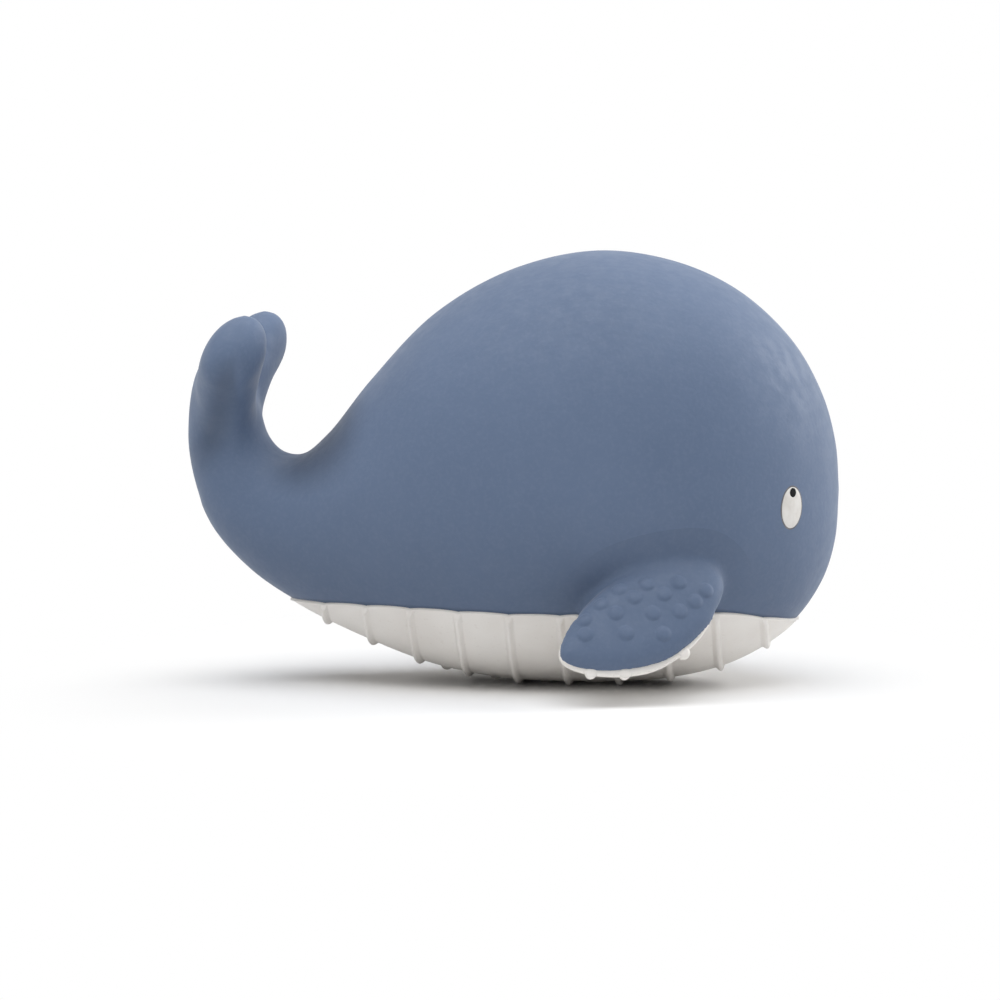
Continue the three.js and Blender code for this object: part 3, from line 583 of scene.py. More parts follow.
def finish(name, colour_of, roughness_of, bump_of, bump_depth, **fixed):
    """A rubber or paint finish. Each of the three functions takes the tree and the place on the piece."""
    material = bpy.data.materials.new(name)
    material.use_nodes = True
    material.node_tree.nodes.clear()
    tree = Tree(material.node_tree)
    place = tree.node("ShaderNodeTexCoord", out="Object")
    bump = tree.node(
        "ShaderNodeBump", {}, {"Height": bump_of(tree, place), "Distance": bump_depth, "Strength": 1.0}
    )
    surface = tree.node("ShaderNodeBsdfPrincipled", {}, {
        "Base Color": colour_of(tree, place),
        "Roughness": roughness_of(tree, place),
        "Normal": bump,
        **fixed,
    })
    tree.node("ShaderNodeOutputMaterial", {}, {"Surface": surface})
    return material


BLUE = (0.120, 0.170, 0.272, 1)
BLUE_DEEP = (0.104, 0.150, 0.244, 1)
BLUE_BLOOM = (0.148, 0.198, 0.302, 1)
# The deep blue of painted shade, mixed in where shade falls on the back and tail.
BLUE_PAINTED_SHADE = (0.045, 0.064, 0.104, 1)
# Clouds and grains to the metre.
BLUE_CLOUDS, BLUE_GRAIN, MATTE_GRAIN, FINE_GRAIN, COARSE_GRAIN = 55, 1300, 420, 1500, 260
CLOUD_TONE, BLOOM_TONE = 0.42, 0.32
COARSE_SHARE, MATTE_ROUGHNESS, PAINT_GRAIN_DEPTH = 1.6, (0.56, 0.70), 0.00003
# Painted shade round the crook under the tail: its centre, radius, fade, reach along the length and
# strength.
CROOK_X, CROOK_Z, CROOK_RADIUS = -0.0364, 0.0452, 0.0066
CROOK_FADE, CROOK_FROM, CROOK_TONE = 0.0080, (-0.0440, -0.0350), 0.85
# Painted shade along the valley on each flank of the stem: width, strength, reach, foot and head.
VALLEY_TONE_WIDTH, VALLEY_TONE, VALLEY_TONE_FROM = 0.0046, 0.56, (-0.0440, -0.0455)
VALLEY_TONE_FOOT, VALLEY_TONE_HEAD = (0.0330, 0.0410), (0.0570, 0.0500)
# Painted shade low on the flanks, fading out this high above the paint line.
LOW_RISE, LOW_TONE = 0.022, 0.22
# Painted shade in a thin line along the crease above the paint's edge, wandering with the clouds.
EDGE_RISE, EDGE_WANDER, EDGE_TONE = (0.0004, 0.0012), 0.0004, 0.5


def blue_colour(tree, place):
    """Blue, clouded and dusted, with painted shade that darkens it in the crook, in the stem's valleys, low
    down and at its edge.
    """
    clouds = tree.noise(place, BLUE_CLOUDS, 3).ramp(0.3, 0.75, 0, CLOUD_TONE)
    grain = tree.noise(place, BLUE_GRAIN, 3).ramp(0.42, 0.72, 0, BLOOM_TONE)
    x, _, z = tree.parts(place)
    # Painted shade in the crook, fading out past its radius.
    round_crook = ((x - CROOK_X) ** 2 + (z - CROOK_Z) ** 2) ** 0.5
    crook = round_crook.ramp(CROOK_RADIUS, CROOK_RADIUS + CROOK_FADE, CROOK_TONE, 0) * x.ramp(*CROOK_FROM)
    # Painted shade along the stem's valleys.
    valley = beside_valley(x, z).size().ramp(0, VALLEY_TONE_WIDTH, VALLEY_TONE, 0)
    valley = valley * x.ramp(*VALLEY_TONE_FROM) * z.ramp(*VALLEY_TONE_FOOT) * z.ramp(*VALLEY_TONE_HEAD)
    rise = tree.node("ShaderNodeAttribute", {"attribute_name": "above_paint"}, out="Fac")
    # Painted shade, strongest at the paint line and gone by the given rise.
    low = rise.ramp(0, LOW_RISE, LOW_TONE, 0)
    # Painted shade along the crease just above the paint's edge.
    edge = (rise + clouds * EDGE_WANDER).ramp(*EDGE_RISE, EDGE_TONE, 0)
    dusted = tree.mixed(grain, tree.mixed(clouds, BLUE, BLUE_DEEP), BLUE_BLOOM)
    return tree.mixed(crook.at_least(valley).at_least(low).at_least(edge), dusted, BLUE_PAINTED_SHADE)


def matte(tree, place):
    return tree.noise(place, MATTE_GRAIN, 3).ramp(0.3, 0.7, *MATTE_ROUGHNESS)


def skin_grain(tree, place):
    return tree.noise(place, FINE_GRAIN, 3) + tree.noise(place, COARSE_GRAIN, 2) * COARSE_SHARE


BLOOM = {"Sheen Weight": 0.12, "Sheen Roughness": 0.45, "Specular IOR Level": 0.36}
blue_paint = finish("blue paint", blue_colour, matte, skin_grain, PAINT_GRAIN_DEPTH, **BLOOM)


def with_values(piece, label, values):
    kept = piece.data.attributes.new(label, "FLOAT", "POINT")
    kept.data.foreach_set("value", np.asarray(values).ravel().astype(np.float32))


def dressed(piece, material, slot, *nodes):
    piece.data.materials.clear()
    piece.data.materials.append(material)
    if nodes:
        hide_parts(*nodes)
    return piece


def painted(name, points, normals, faces, node):
    piece = mesh_object(name, points, faces)
    piece.data.normals_split_custom_set_from_vertices(normals.tolist())
    with_values(piece, "above_paint", above_parting(points))
    return dressed(piece, blue_paint, "painted_blue_rubber", node)


back = painted("back", *back_skin, "back_shell")
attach(back, "body")

tail = painted("tail", *tail_skin, "tail_flukes")
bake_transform(tail)


# Fin tops
# The painted face of each fin carries four rows of low round dots, moulded with it. Each fin top is parted
# from the flank in a ring round its root, where the rubber bends between the flank and the free part of the
# leaf.
DOT_RADIUS, DOT_HEIGHT, DOT_FULLNESS, DOT_FOOT = 0.00138, 0.00040, 3, 1.1
# Place of each dot along the fin and out from its root.
DOTS = (
    (-0.0075, 0.0006), (-0.0031, -0.0007), (0.0022, -0.0005), (0.0068, 0.0001),
    (-0.0055, 0.0027), (-0.0005, 0.0014), (0.0044, 0.0019), (0.0099, 0.0027),
    (-0.0029, 0.0045), (0.0016, 0.0048), (0.0076, 0.0047), (0.0127, 0.0055),
    (0.0001, 0.0085), (0.0062, 0.0083), (0.0128, 0.0083),
)
# On the leaf the rise above the paint line is held at a fixed value, so the painted shade of the low flanks
# lies evenly over the fin and the painted shade at the paint's edge stays off it.
FIN_TONE_RISE, FIN_TONE_FROM = 0.004, (-0.0040, -0.0010)


def group(name, *inputs):
    """A geometry tree with named inputs, and its first output open."""
    made = bpy.data.node_groups.new(name, "GeometryNodeTree")
    made.interface.new_socket("Geometry", in_out="INPUT", socket_type="NodeSocketGeometry")
    made.interface.new_socket("Geometry", in_out="OUTPUT", socket_type="NodeSocketGeometry")
    for label, kind in inputs:
        made.interface.new_socket(label, in_out="INPUT", socket_type="NodeSocket" + kind)
    tree = Tree(made)
    start = made.nodes.new("NodeGroupInput")
    sockets = {socket.name: Value(tree, socket) for socket in start.outputs if socket.name}
    return made, tree, sockets


def closed(tree, geometry, material):
    """Ends a geometry tree: plain faces with their finish."""
    plain = tree.node("GeometryNodeRealizeInstances", {}, {0: geometry})
    tinted = tree.node("GeometryNodeSetMaterial", {}, {"Geometry": plain, "Material": material})
    tree.node("NodeGroupOutput", {}, {0: tinted})


def shaped(piece, tree_group, **values):
    """Runs a geometry tree on a piece with the given inputs."""
    modifier = piece.modifiers.new(tree_group.name, "NODES")
    modifier.node_group = tree_group
    for socket in tree_group.interface.items_tree:
        if socket.in_out == "INPUT" and socket.name in values:
            modifier[socket.identifier] = values[socket.name]
    baked(piece)


def places(name, points):
    return mesh_object(name, points, [])


def geometry_of(tree, piece):
    return tree.node(
        "GeometryNodeObjectInfo", {"transform_space": "RELATIVE"}, {"Object": piece}, "Geometry"
    )


def lifted(tree, geometry, lift):
    """The geometry pushed out the way it faces."""
    facing = tree.node("GeometryNodeInputNormal")
    push = tree.node("ShaderNodeVectorMath", {"operation": "SCALE"}, {0: facing, "Scale": lift})
    return tree.node("GeometryNodeSetPosition", {}, {"Geometry": geometry, "Offset": push})


raised_dots, tree, given = group(
    "raised_dots", ("Centres", "Object"), ("Radius", "Float"), ("Height", "Float"), ("Fineness", "Int"),
    ("Finish", "Material"),
)
centres = geometry_of(tree, given["Centres"])
fine = tree.node("GeometryNodeSubdivideMesh", {}, {"Mesh": given["Geometry"], "Level": given["Fineness"]})
gap = tree.node("GeometryNodeProximity", {"target_element": "POINTS"}, {0: centres}, "Distance")
dome = (1 - (gap / given["Radius"]) ** DOT_FULLNESS).at_least(0.0) ** DOT_FOOT
closed(tree, lifted(tree, fine, dome * given["Height"]), given["Finish"])


def on_fin(spots, facing):
    return np.array([fin_point(a, o, facing * leaf_half(leaf_share(a, o))) for a, o in spots])


def bend_with_fin(piece):
    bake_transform(piece)


SIDES = (("right", np.array([1, 1, 1])), ("left", MIRROR))
for side, flip in SIDES:
    points, _, faces = cut_skin(*fin_skin[:3], -fin_skin[3] * flip[1])
    fin_top = mesh_object(side + "_fin_painted", points, faces)
    on_leaf = smooth((points * flip - FIN_ORIGIN) @ FIN_UP, *FIN_TONE_FROM)
    rises = above_parting(points)
    with_values(fin_top, "above_paint", rises + (FIN_TONE_RISE - rises) * on_leaf)
    spots = places("dot_places", on_fin(DOTS, 1) * flip)
    shaped(
        fin_top, raised_dots, Centres=spots, Radius=DOT_RADIUS, Height=DOT_HEIGHT, Fineness=1,
        Finish=blue_paint,
    )
    bpy.data.objects.remove(spots)
    fin_top.data.shade_smooth()
    dressed(fin_top, blue_paint, "painted_blue_rubber", side + "_fin_top")
    bend_with_fin(fin_top)


# Fin undersides
# The lower half of the leaf is bare rubber, cream and slightly uneven in tone. It reaches past the painted
# half as a rim, and blunt studs on it are there to be chewed.
CREAM = (0.860, 0.832, 0.795, 1)
CREAM_DULL = (0.780, 0.742, 0.700, 1)
# Clouds and specks to the metre.
CREAM_CLOUDS, CREAM_SPECKS = 90, 1500
CREAM_CLOUD_TONE, CREAM_SPECK_TONE, RUBBER_GRAIN_DEPTH = 0.55, 0.5, 0.00002
UNDER_TOP, UNDER_EDGE, UNDER_EDGE_SHARES = 0.0002, 0.00015, (0.97, 0.99)
UNDER_STEP, UNDER_RINGS, UNDER_EASED_DEPTH = 0.0003, 44, (0.0004, 0.0016)
BARE_SHOULDER_INSET, BARE_SHOULDER_UP, BARE_SHOULDER_DROP, BARE_LAP = 0.0003, -0.0008, 0.0035, 0.0007
# Turn round the leaf from its tip, in degrees, and how far the rim stands past the paint or stays under it.
UNDER_RIM = (
    (0, 0.0002), (20, 0.0005), (45, 0.0009), (70, 0.0011), (90, 0.0007), (110, 0.0006), (122, 0.0004),
    (132, 0), (142, -0.0004), (230, -0.0005), (300, -0.0005), (325, -0.0002), (345, 0.0001), (360, 0.0002),
)
STUD_RADIUS, STUD_HEIGHT, STUD_FOOT, STUD_FULLNESS = 0.0010, 0.0017, 0.0004, 0.8
STUD_SIDES, STUD_RINGS = 28, 15
# Place of each stud along the fin and out from its root.
STUDS = (
    (0.0120, 0.0141), (0.0065, 0.0143), (-0.0034, 0.0109), (0.0015, 0.0104),
    (-0.0010, 0.0060), (0.0050, 0.0086), (0.0098, 0.0092), (0.0142, 0.0096),
    (0.0045, 0.0050), (0.0100, 0.0054),
)


def cream_colour(tree, place):
    clouds = tree.noise(place, CREAM_CLOUDS, 4).ramp(0.35, 0.75, 0, CREAM_CLOUD_TONE)
    specks = tree.noise(place, CREAM_SPECKS, 2).ramp(0.62, 0.75, 0, CREAM_SPECK_TONE)
    return tree.mixed((clouds + specks).at_most(1.0), CREAM, CREAM_DULL)


cream_rubber = finish("cream rubber", cream_colour, matte, skin_grain, RUBBER_GRAIN_DEPTH)

rim_line = spline(UNDER_RIM, np.linspace(0, 1, LINE_POINTS))
under_rim = np.interp(np.degrees(full_turn(LEAF_SIDES)), rim_line[:, 0], rim_line[:, 1])
under_shares = np.sin(np.linspace(math.pi / 2, LEAF_LAST_TURN, UNDER_RINGS))
under_rings = [leaf_ring(share, -FIN_LAP - leaf_half(share), under_rim) for share in under_shares]
under_skin = skin([
    fin_point(*FIN_CENTRE, UNDER_TOP)[None],
    *(leaf_ring(share, UNDER_TOP, under_rim) for share in UNDER_EDGE_SHARES),
    leaf_ring(1, UNDER_TOP - UNDER_EDGE, under_rim),
    *under_rings,
    fin_point(*FIN_CENTRE, -FIN_LAP - leaf_half(0))[None],
])


def stud_ring(angle):
    """A ring of the stud, which is a dome above its seat and a flatter one below."""
    turn = full_turn(STUD_SIDES)
    radius = STUD_RADIUS * math.cos(angle) ** STUD_FULLNESS
    height = (STUD_HEIGHT if angle > 0 else STUD_FOOT) * math.sin(angle)
    return np.stack([radius * np.cos(turn), radius * np.sin(turn), np.full(STUD_SIDES, height)], axis=1)


stud_angles = np.linspace(-math.pi / 2, math.pi / 2, STUD_RINGS + 2)[1:-1]
stud_skin = skin([
    np.array([[0, 0, -STUD_FOOT]]),
    *(stud_ring(angle) for angle in stud_angles),
    np.array([[0, 0, STUD_HEIGHT]]),
])

chewing_studs, tree, given = group(
    "chewing_studs", ("Centres", "Object"), ("Stud", "Object"), ("Facing", "Vector"), ("Finish", "Material")
)
turn = tree.node("FunctionNodeAlignRotationToVector", {"axis": "Z"}, {"Vector": given["Facing"]})
studs = tree.node("GeometryNodeInstanceOnPoints", {}, {
    "Points": geometry_of(tree, given["Centres"]),
    "Instance": geometry_of(tree, given["Stud"]),
    "Rotation": turn,
})
joined = tree.node("GeometryNodeJoinGeometry", {}, {0: given["Geometry"]})
tree.links.new(studs.socket, joined.socket.node.inputs[0])
closed(tree, joined, given["Finish"])

bare_shoulder = shoulder(
    SHOULDER_RIM - BARE_SHOULDER_INSET, BARE_SHOULDER_UP, lowest=-BARE_SHOULDER_DROP, highest=BARE_LAP
)
under_points, under_edges, under_faces = fused([under_skin, bare_shoulder], UNDER_STEP)
under_corner = np.maximum(gaps_to(under_skin, under_points), gaps_to(bare_shoulder, under_points))
under_depth = (under_points - FIN_ORIGIN) @ -FIN_UP
under_easing = (1 - smooth(under_corner, 0, FIN_HOLLOW)) * smooth(under_depth, *UNDER_EASED_DEPTH)
under_points = relaxed(under_points, under_edges, EASING_PULL * under_easing, HOLLOW_ROUNDS)
under_points = relaxed(under_points, under_edges, EASING_PULL, POLISH_ROUNDS, back=POLISH_PUSH)
below_paint = BARE_LAP - above_parting(under_points)
under_points, _, under_faces = cut_skin(under_points, under_points, under_faces, below_paint)

for side, flip in SIDES:
    points, faces = both_sides((under_points, under_faces.tolist()))[side == "left"]
    under = mesh_object(side + "_fin_bare", points, faces)
    spots = places("stud_places", on_fin(STUDS, -1) * flip)
    one_stud = mesh_object("stud", *stud_skin)
    downward = (-FIN_UP * flip).tolist()
    shaped(under, chewing_studs, Centres=spots, Stud=one_stud, Facing=downward, Finish=cream_rubber)
    bpy.data.objects.remove(spots)
    bpy.data.objects.remove(one_stud)
    under.data.shade_smooth()
    dressed(under, cream_rubber, "bare_cream_rubber", side + "_fin_underside")
    bend_with_fin(under)


# Belly
# The unpainted lower skin stands a hair proud of the paint. Cross ribs at an even pitch run under it from
# side to side, and between them low nubs mark the keel.
BELLY_RISE = 0.00035
RIB_COUNT, RIB_FIRST_X, RIB_PITCH = 10, -0.031, 0.0085
RIB_WIDTH, RIB_HEIGHT, RIB_FADE, RIB_FULLNESS = 0.0013, 0.0008, 0.0010, 0.8
EDGE_SCALLOP, EDGE_ROLL, EDGE_ROLL_WIDTH = 0.00028, 0.00012, 0.0009
EDGE_STAND, EDGE_TUCK, EDGE_WELD = 0.0001, 0.0006, 0.000003
BELLY_STEP, BELLY_COLUMNS, COLUMN_CROWDING = 0.00020, 112, 0.55
BELLY_TIP, BELLY_TIP_ROWS = 0.004, 22
NUB_BAYS = (2, 3, 4, 6)
NUB_RADIUS, NUB_HEIGHT = 0.00115, 0.00075
KEEL_SECTION, KEEL_POINTS, PROBE_POINTS, SETTLING_ROUNDS, LEAST_ANGLE = 14, 4001, 6001, 12, 1e-3

keel_stations = np.linspace(KEEL_SECTION / (len(sections) - 1), 0, KEEL_POINTS)
keel_points = body_line(keel_stations, np.full(KEEL_POINTS, math.pi))
keel_runs = np.concatenate([[0], np.cumsum(np.linalg.norm(np.diff(keel_points, axis=0), axis=1))])
first_rib = keel_runs[np.argmax(keel_points[:, 0] > RIB_FIRST_X)]


def station_at(run):
    return np.interp(run, keel_runs, keel_stations)


def half_angle(run):
    """How far the bare skin reaches up the side, as an angle from the keel."""
    station = station_at(run)
    back_at, belly_at = spline(back_rail, station), spline(belly_rail, station)
    middle, half = (back_at + belly_at) / 2, (back_at - belly_at) / 2
    wave = EDGE_SCALLOP * np.abs(np.sin(math.pi * (run - first_rib) / RIB_PITCH)) ** 0.5
    share = np.zeros(len(run))
    for _ in range(SETTLING_ROUNDS):
        share = (parting(middle[:, 0] + share * half[:, 0]) + wave - middle[:, 2]) / half[:, 2]
        share = np.clip(share, -1.5, 1.5)
    cosine = np.sign(share) * np.abs(share) ** (SECTION_FULLNESS / 2)
    return math.pi - np.arccos(np.clip(cosine, -1, 1))


probe = np.linspace(keel_runs[0], keel_runs[-1], PROBE_POINTS)[1:-1]
bare = probe[half_angle(probe) > LEAST_ANGLE]
bare_from, bare_to = bare[0], bare[-1]
run_count = int((bare_to - bare_from) / BELLY_STEP)
runs = np.linspace(bare_from, bare_to, run_count)
tips = BELLY_TIP * (1 - np.cos(np.linspace(0, math.pi / 2, BELLY_TIP_ROWS + 2)))[1:-1]
runs = np.unique(np.concatenate([runs, bare_from + tips, bare_to - tips]))

even_columns = np.linspace(-1, 1, BELLY_COLUMNS)
columns = even_columns + COLUMN_CROWDING * (np.sin(even_columns * math.pi / 2) - even_columns)
angles = math.pi + half_angle(runs)[:, None] * columns[None, :]
stations = np.broadcast_to(station_at(runs)[:, None], angles.shape)
line = body_line(stations, angles)
outward = body_normal(stations, angles)
edge_gap = np.minimum(
    np.linalg.norm(line - line[:, :1], axis=2), np.linalg.norm(line - line[:, -1:], axis=2)
)
roll = EDGE_ROLL * (1 - smooth(edge_gap, 0, EDGE_ROLL_WIDTH))
rise = np.pad(BELLY_RISE + roll, 1, constant_values=EDGE_STAND)
rise = np.pad(rise, 1, constant_values=-EDGE_TUCK)
turned_in = ((2, 2), (2, 2), (0, 0))
grid = np.pad(line, turned_in, "edge") + np.pad(outward, turned_in, "edge") * rise[..., None]
rows, width = grid.shape[:2]
index = np.arange(rows * width).reshape(rows, width)
quads = np.stack([index[:-1, :-1], index[1:, :-1], index[1:, 1:], index[:-1, 1:]], axis=-1).reshape(-1, 4)
belly = mesh_object("belly", grid.reshape(-1, 3), quads)

with_values(belly, "run", np.repeat(np.pad(runs, 2, "edge"), width))
with_values(belly, "from_edge", np.pad(edge_gap, 2))

belly_ribs, tree, given = group(
    "belly_ribs", ("First", "Float"), ("Pitch", "Float"), ("Count", "Int"), ("Width", "Float"),
    ("Height", "Float"), ("Fade", "Float"), ("Finish", "Material"),
)
run, from_edge = (
    tree.node("GeometryNodeInputNamedAttribute", {"data_type": "FLOAT"}, {"Name": label}, "Attribute")
    for label in ("run", "from_edge")
)
steps = ((run - given["First"]) / given["Pitch"]).maths("ROUND").at_least(0.0).at_most(given["Count"] - 1)
away = ((run - given["First"] - steps * given["Pitch"]).size() / given["Width"] * 2).at_most(1.0)
ridge = (1 - away * away) ** RIB_FULLNESS
lift = ridge * given["Height"] * from_edge.ramp(0.0, given["Fade"])
welded = tree.node(
    "GeometryNodeMergeByDistance", {}, {"Geometry": given["Geometry"], "Distance": EDGE_WELD}
)
closed(tree, lifted(tree, welded, lift), given["Finish"])
shaped(
    belly, belly_ribs, First=float(first_rib), Pitch=RIB_PITCH, Count=RIB_COUNT, Width=RIB_WIDTH,
    Height=RIB_HEIGHT, Fade=RIB_FADE, Finish=cream_rubber,
)

nub_runs = np.array([first_rib + (bay + 0.5) * RIB_PITCH for bay in NUB_BAYS])
keel_turn = np.full(len(nub_runs), math.pi)
nub_points = body_line(station_at(nub_runs), keel_turn)
spots = places("nub_places", nub_points + body_normal(station_at(nub_runs), keel_turn) * BELLY_RISE)
shaped(
    belly, raised_dots, Centres=spots, Radius=NUB_RADIUS, Height=NUB_HEIGHT, Fineness=0,
    Finish=cream_rubber,
)
bpy.data.objects.remove(spots)
for vertex in belly.data.vertices:
    vertex.co.z = max(vertex.co.z, 0.0)
belly.data.shade_smooth()
dressed(belly, cream_rubber, "bare_cream_rubber", "belly_shell")
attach(belly, "body")


# Casting hole plug
# The rubber is poured in and drained through a hole in the keel, which is closed with a round plug that is
# glued in nearly flush.
PLUG_BAY, PLUG_RADIUS, PLUG_RISE, PLUG_DEPTH, PLUG_SIDES = 5, 0.0027, 0.00015, 0.0006, 64
# The plug from its foot over its rounded edge: how far in from the edge, and how high.
PLUG_PROFILE = (
    (0, -PLUG_DEPTH), (0, 0.00002), (0.0001, 0.00012), (0.0003, PLUG_RISE), (PLUG_RADIUS / 2, PLUG_RISE),
)

plug_station = station_at(np.array([first_rib + (PLUG_BAY + 0.5) * RIB_PITCH]))
plug_facing = body_normal(plug_station, np.array([math.pi]))[0]
plug_seat = body_line(plug_station, np.array([math.pi]))[0] + plug_facing * BELLY_RISE
plug_side = unit(np.cross(plug_facing, [0, 1.0, 0]))
plug_turn = full_turn(PLUG_SIDES)[:, None]
plug_circle = plug_side * np.cos(plug_turn) + np.cross(plug_facing, plug_side) * np.sin(plug_turn)

plug = mesh_object("plug", *skin([
    (plug_seat - plug_facing * PLUG_DEPTH)[None],
    *(
        plug_seat + plug_circle * (PLUG_RADIUS - inset) + plug_facing * height
        for inset, height in PLUG_PROFILE
    ),
    (plug_seat + plug_facing * PLUG_RISE)[None],
]))
dressed(plug, cream_rubber, "bare_cream_rubber", "pour_hole_plug")
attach(plug, "body")


# Eyes
# Each eye is a raised oval of white paint, laid into a thin engraved line, with a black pupil dabbed near
# its upper end. The shade in the engraved line is painted as a dark rim under the white.
EYE_SEAT = np.array([0.048194, -0.017559, 0.030806])
EYE_FACING = np.array([0.7601, -0.6475, -0.0543])
EYE_HALF_WIDTH, EYE_HALF_HEIGHT, EYE_SHIFT, EYE_LIFT = 0.0023, 0.0034, -0.0009, 0.0003
GROOVE_WIDTH = 0.00026
PUPIL_HALF_WIDTH, PUPIL_HALF_HEIGHT, PUPIL_LIFT = 0.00072, 0.00076, 0.0028
# How far the middle of each patch stands over its edge, and its edge over the head.
GROOVE_RISES, WHITE_RISES, PUPIL_RISES = (0.00002, 0.00001), (0.00012, 0.00004), (0.00010, 0.00014)
PATCH_FULLNESS, PATCH_SKIRT, SKIRT_DEPTH, PATCH_FOOT = 4, (1.04, 1.02), 0.0004, 0.0008
EYE_RINGS, EYE_SIDES, IN_FRONT = 16, 72, 0.01
WHITE, WHITE_DULL = (0.80, 0.78, 0.75, 1), (0.70, 0.67, 0.63, 1)
BLACK, BLACK_DULL = (0.003, 0.003, 0.004, 1), (0.007, 0.006, 0.008, 1)
# Painted shade: the dark tones that stand for the shade in the engraved line.
GROOVE_SHADE_LIGHT, GROOVE_SHADE_DARK = (0.200, 0.190, 0.195, 1), (0.100, 0.105, 0.120, 1)

eye_side = unit(np.cross([0, 0, 1.0], EYE_FACING))
eye_upward = np.cross(EYE_FACING, eye_side)
body_tree = BVHTree.FromPolygons(body_skin[0].tolist(), body_skin[1])


def paint_patch(half_width, half_height, shift, lift, rise, base):
    """A domed oval that follows the head, from a little below its skin to a given rise."""
    rings = []
    for share in np.concatenate([PATCH_SKIRT, np.sin(np.linspace(math.pi / 2, 0, EYE_RINGS))]):
        turn = full_turn(EYE_SIDES)[:, None]
        if share < 1e-9:
            turn = turn[:1]
        across = eye_side * (shift + half_width * share * np.cos(turn))
        spots = EYE_SEAT + across + eye_upward * (lift + half_height * share * np.sin(turn))
        dome = math.sqrt(max(1 - share ** PATCH_FULLNESS, 0))
        height = base + rise * dome if share <= 1 else -SKIRT_DEPTH
        starts = [Vector(spot + EYE_FACING * IN_FRONT) for spot in spots]
        hits = [body_tree.ray_cast(start, Vector(-EYE_FACING))[0] for start in starts]
        rings.append(np.array(hits) + EYE_FACING * height)
    return skin([rings[0].mean(axis=0)[None] - EYE_FACING * PATCH_FOOT, *rings])


def mottled(spots_per_metre, first, second, low=0.35, high=0.75):
    """A colour that wanders between two."""
    def colour(tree, place):
        return tree.mixed(tree.noise(place, spots_per_metre, 3).ramp(low, high), first, second)

    return colour


PUPIL_GRAIN_DEPTH, SLIGHT_SHINE = 0.00001, {"Specular IOR Level": 0.15}
eye_white = finish("eye white", mottled(500, WHITE, WHITE_DULL), matte, skin_grain, RUBBER_GRAIN_DEPTH)
pupil_black = finish(
    "pupil black", mottled(900, BLACK, BLACK_DULL), matte, skin_grain, PUPIL_GRAIN_DEPTH, **SLIGHT_SHINE
)
groove_shade = finish(
    "eye groove", mottled(700, GROOVE_SHADE_LIGHT, GROOVE_SHADE_DARK, 0.3, 0.7), matte, skin_grain, RUBBER_GRAIN_DEPTH
)
white_skin = paint_patch(EYE_HALF_WIDTH, EYE_HALF_HEIGHT, EYE_SHIFT, EYE_LIFT, *WHITE_RISES)
black_skin = paint_patch(PUPIL_HALF_WIDTH, PUPIL_HALF_HEIGHT, EYE_SHIFT, PUPIL_LIFT, *PUPIL_RISES)
groove_skin = paint_patch(
    EYE_HALF_WIDTH + GROOVE_WIDTH, EYE_HALF_HEIGHT + GROOVE_WIDTH, EYE_SHIFT, EYE_LIFT, *GROOVE_RISES
)
# The engraved line is a dark rim of painted shade, a patch a little wider than the white and lying under
# it.
for side, _ in SIDES:
    groove = mesh_object(side + "_eye_groove", *both_sides(groove_skin)[side == "left"])
    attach(dressed(groove, groove_shade, "bare_cream_rubber"), "body")
    eye = mesh_object(side + "_eye_white", *both_sides(white_skin)[side == "left"])
    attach(dressed(eye, eye_white, "eye_white", side + "_eye"), "body")
    pupil = mesh_object(side + "_pupil_black", *both_sides(black_skin)[side == "left"])
    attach(dressed(pupil, pupil_black, "pupil_black", side + "_pupil"), "body")


# Studio
# The toy stands on a sweep of white paper that runs out of sight. The light is soft: one broad lamp
# overhead, a pair at the sides and a weak one by the camera.
AIM = Vector((-0.0022, 0, 0.0308))
VIEW_AZIMUTH, VIEW_ELEVATION, VIEW_DISTANCE = math.radians(5), math.radians(4), 0.8
LENS = 170.2
SHADOW_NEAR, SHADOW_FAR, SHADOW_NARROW = 0.055, 0.140, 1.6
PAPER_REACH, PAPER_TONE, SKY_GLOW = 6, (0.93, 0.93, 0.93, 1), 0.12

toward = Vector((
    math.sin(VIEW_AZIMUTH) * math.cos(VIEW_ELEVATION),
    -math.cos(VIEW_AZIMUTH) * math.cos(VIEW_ELEVATION),
    math.sin(VIEW_ELEVATION),
))
camera = bpy.data.objects.new("camera", bpy.data.cameras.new("camera"))
camera.data.lens = LENS
camera.location = AIM + toward * VIEW_DISTANCE
camera.rotation_euler = (-toward).to_track_quat("-Z", "Y").to_euler()
bpy.context.scene.collection.objects.link(camera)
bpy.context.scene.camera = camera

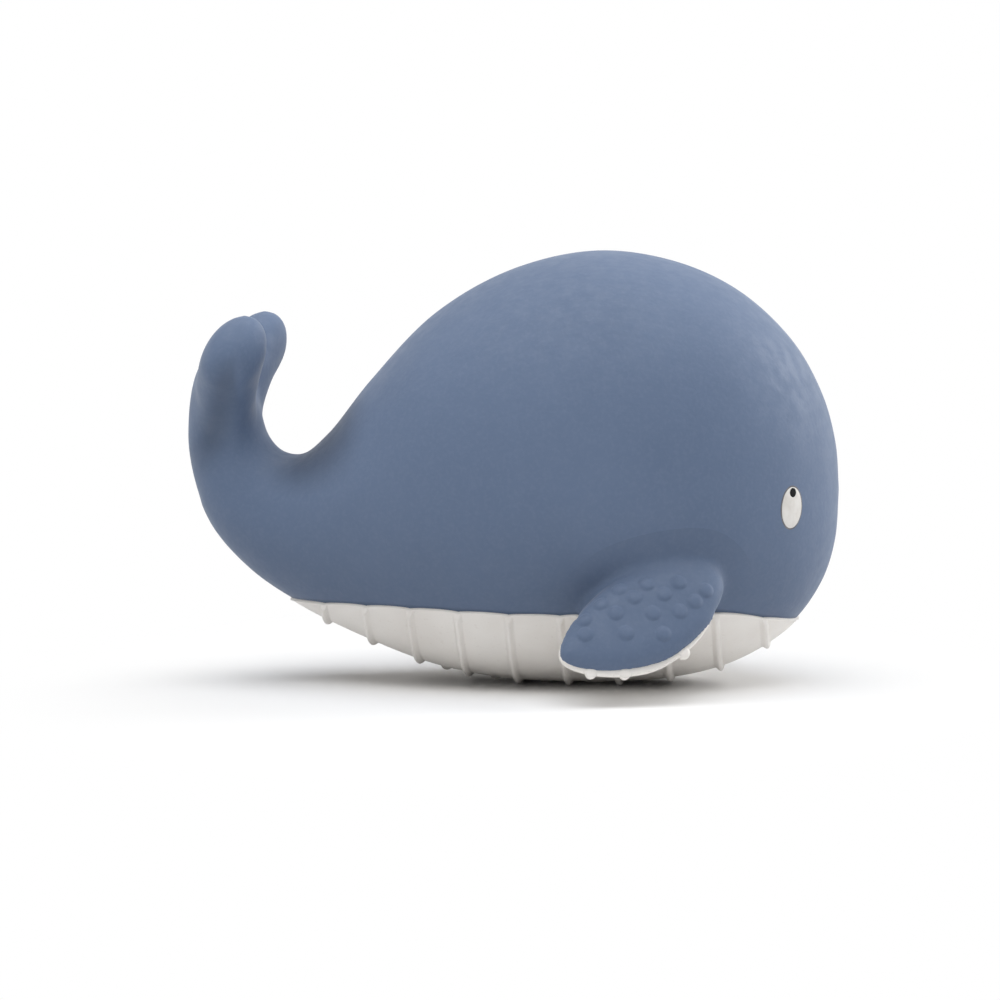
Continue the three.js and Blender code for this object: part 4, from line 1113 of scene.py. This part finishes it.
# Place, size and power of each lamp.
LAMPS = (
    ("overhead", (-0.05, -0.16, 0.75), 1.10, 7.4),
    ("left side", (-0.75, 0.15, 0.14), 0.45, 0.45),
    ("right side", (0.72, 0.36, 0.40), 0.50, 4.2),
    ("by the camera", (-0.25, -1.00, 0.06), 0.60, 0.75),
)
for name, place, size, power in LAMPS:
    lamp = bpy.data.lights.new(name, "AREA")
    lamp.shape, lamp.size, lamp.energy = "DISK", size, power
    holder = bpy.data.objects.new(name, lamp)
    holder.location = place
    holder.rotation_euler = (AIM - Vector(place)).to_track_quat("-Z", "Y").to_euler()
    bpy.context.scene.collection.objects.link(holder)

world = bpy.data.worlds.new("studio")
bpy.context.scene.world = world
world.use_nodes = True
world.node_tree.nodes.clear()
tree = Tree(world.node_tree)
seen = tree.node("ShaderNodeLightPath", out="Is Camera Ray")
mirrored = tree.node("ShaderNodeLightPath", out="Is Glossy Ray")
white = seen.at_least(mirrored).ramp(0, 1, SKY_GLOW, 1.0)
sky = tree.node("ShaderNodeBackground", {}, {"Color": (1, 1, 1, 1), "Strength": white})
tree.node("ShaderNodeOutputWorld", {}, {"Surface": sky})

paper_corners = np.array([(-1, -1, 0), (1, -1, 0), (1, 1, 0), (-1, 1, 0)]) * PAPER_REACH
sweep_floor = mesh_object("sweep", paper_corners, [(0, 1, 2, 3)])
paper = bpy.data.materials.new("white paper")
paper.use_nodes = True
paper.node_tree.nodes.clear()
tree = Tree(paper.node_tree)
where = tree.node("ShaderNodeTexCoord", out="Object")
oval = tree.node("ShaderNodeVectorMath", {"operation": "MULTIPLY"}, {0: where, 1: (SHADOW_NARROW, 1, 1)})
span = tree.node("ShaderNodeVectorMath", {"operation": "LENGTH"}, {0: oval}, "Value")
lit = tree.node("ShaderNodeBsdfDiffuse", {}, {"Color": PAPER_TONE})
clear = tree.node("ShaderNodeEmission", {}, {"Color": (1, 1, 1, 1), "Strength": 1.0})
seen = tree.node("ShaderNodeLightPath", out="Is Camera Ray")
far = span.ramp(SHADOW_NEAR, SHADOW_FAR) * seen
both = tree.node("ShaderNodeMixShader", {}, {0: far, 1: lit, 2: clear})
tree.node("ShaderNodeOutputMaterial", {}, {"Surface": both})
sweep_floor.data.materials.append(paper)

bpy.context.scene.view_settings.view_transform = "Standard"
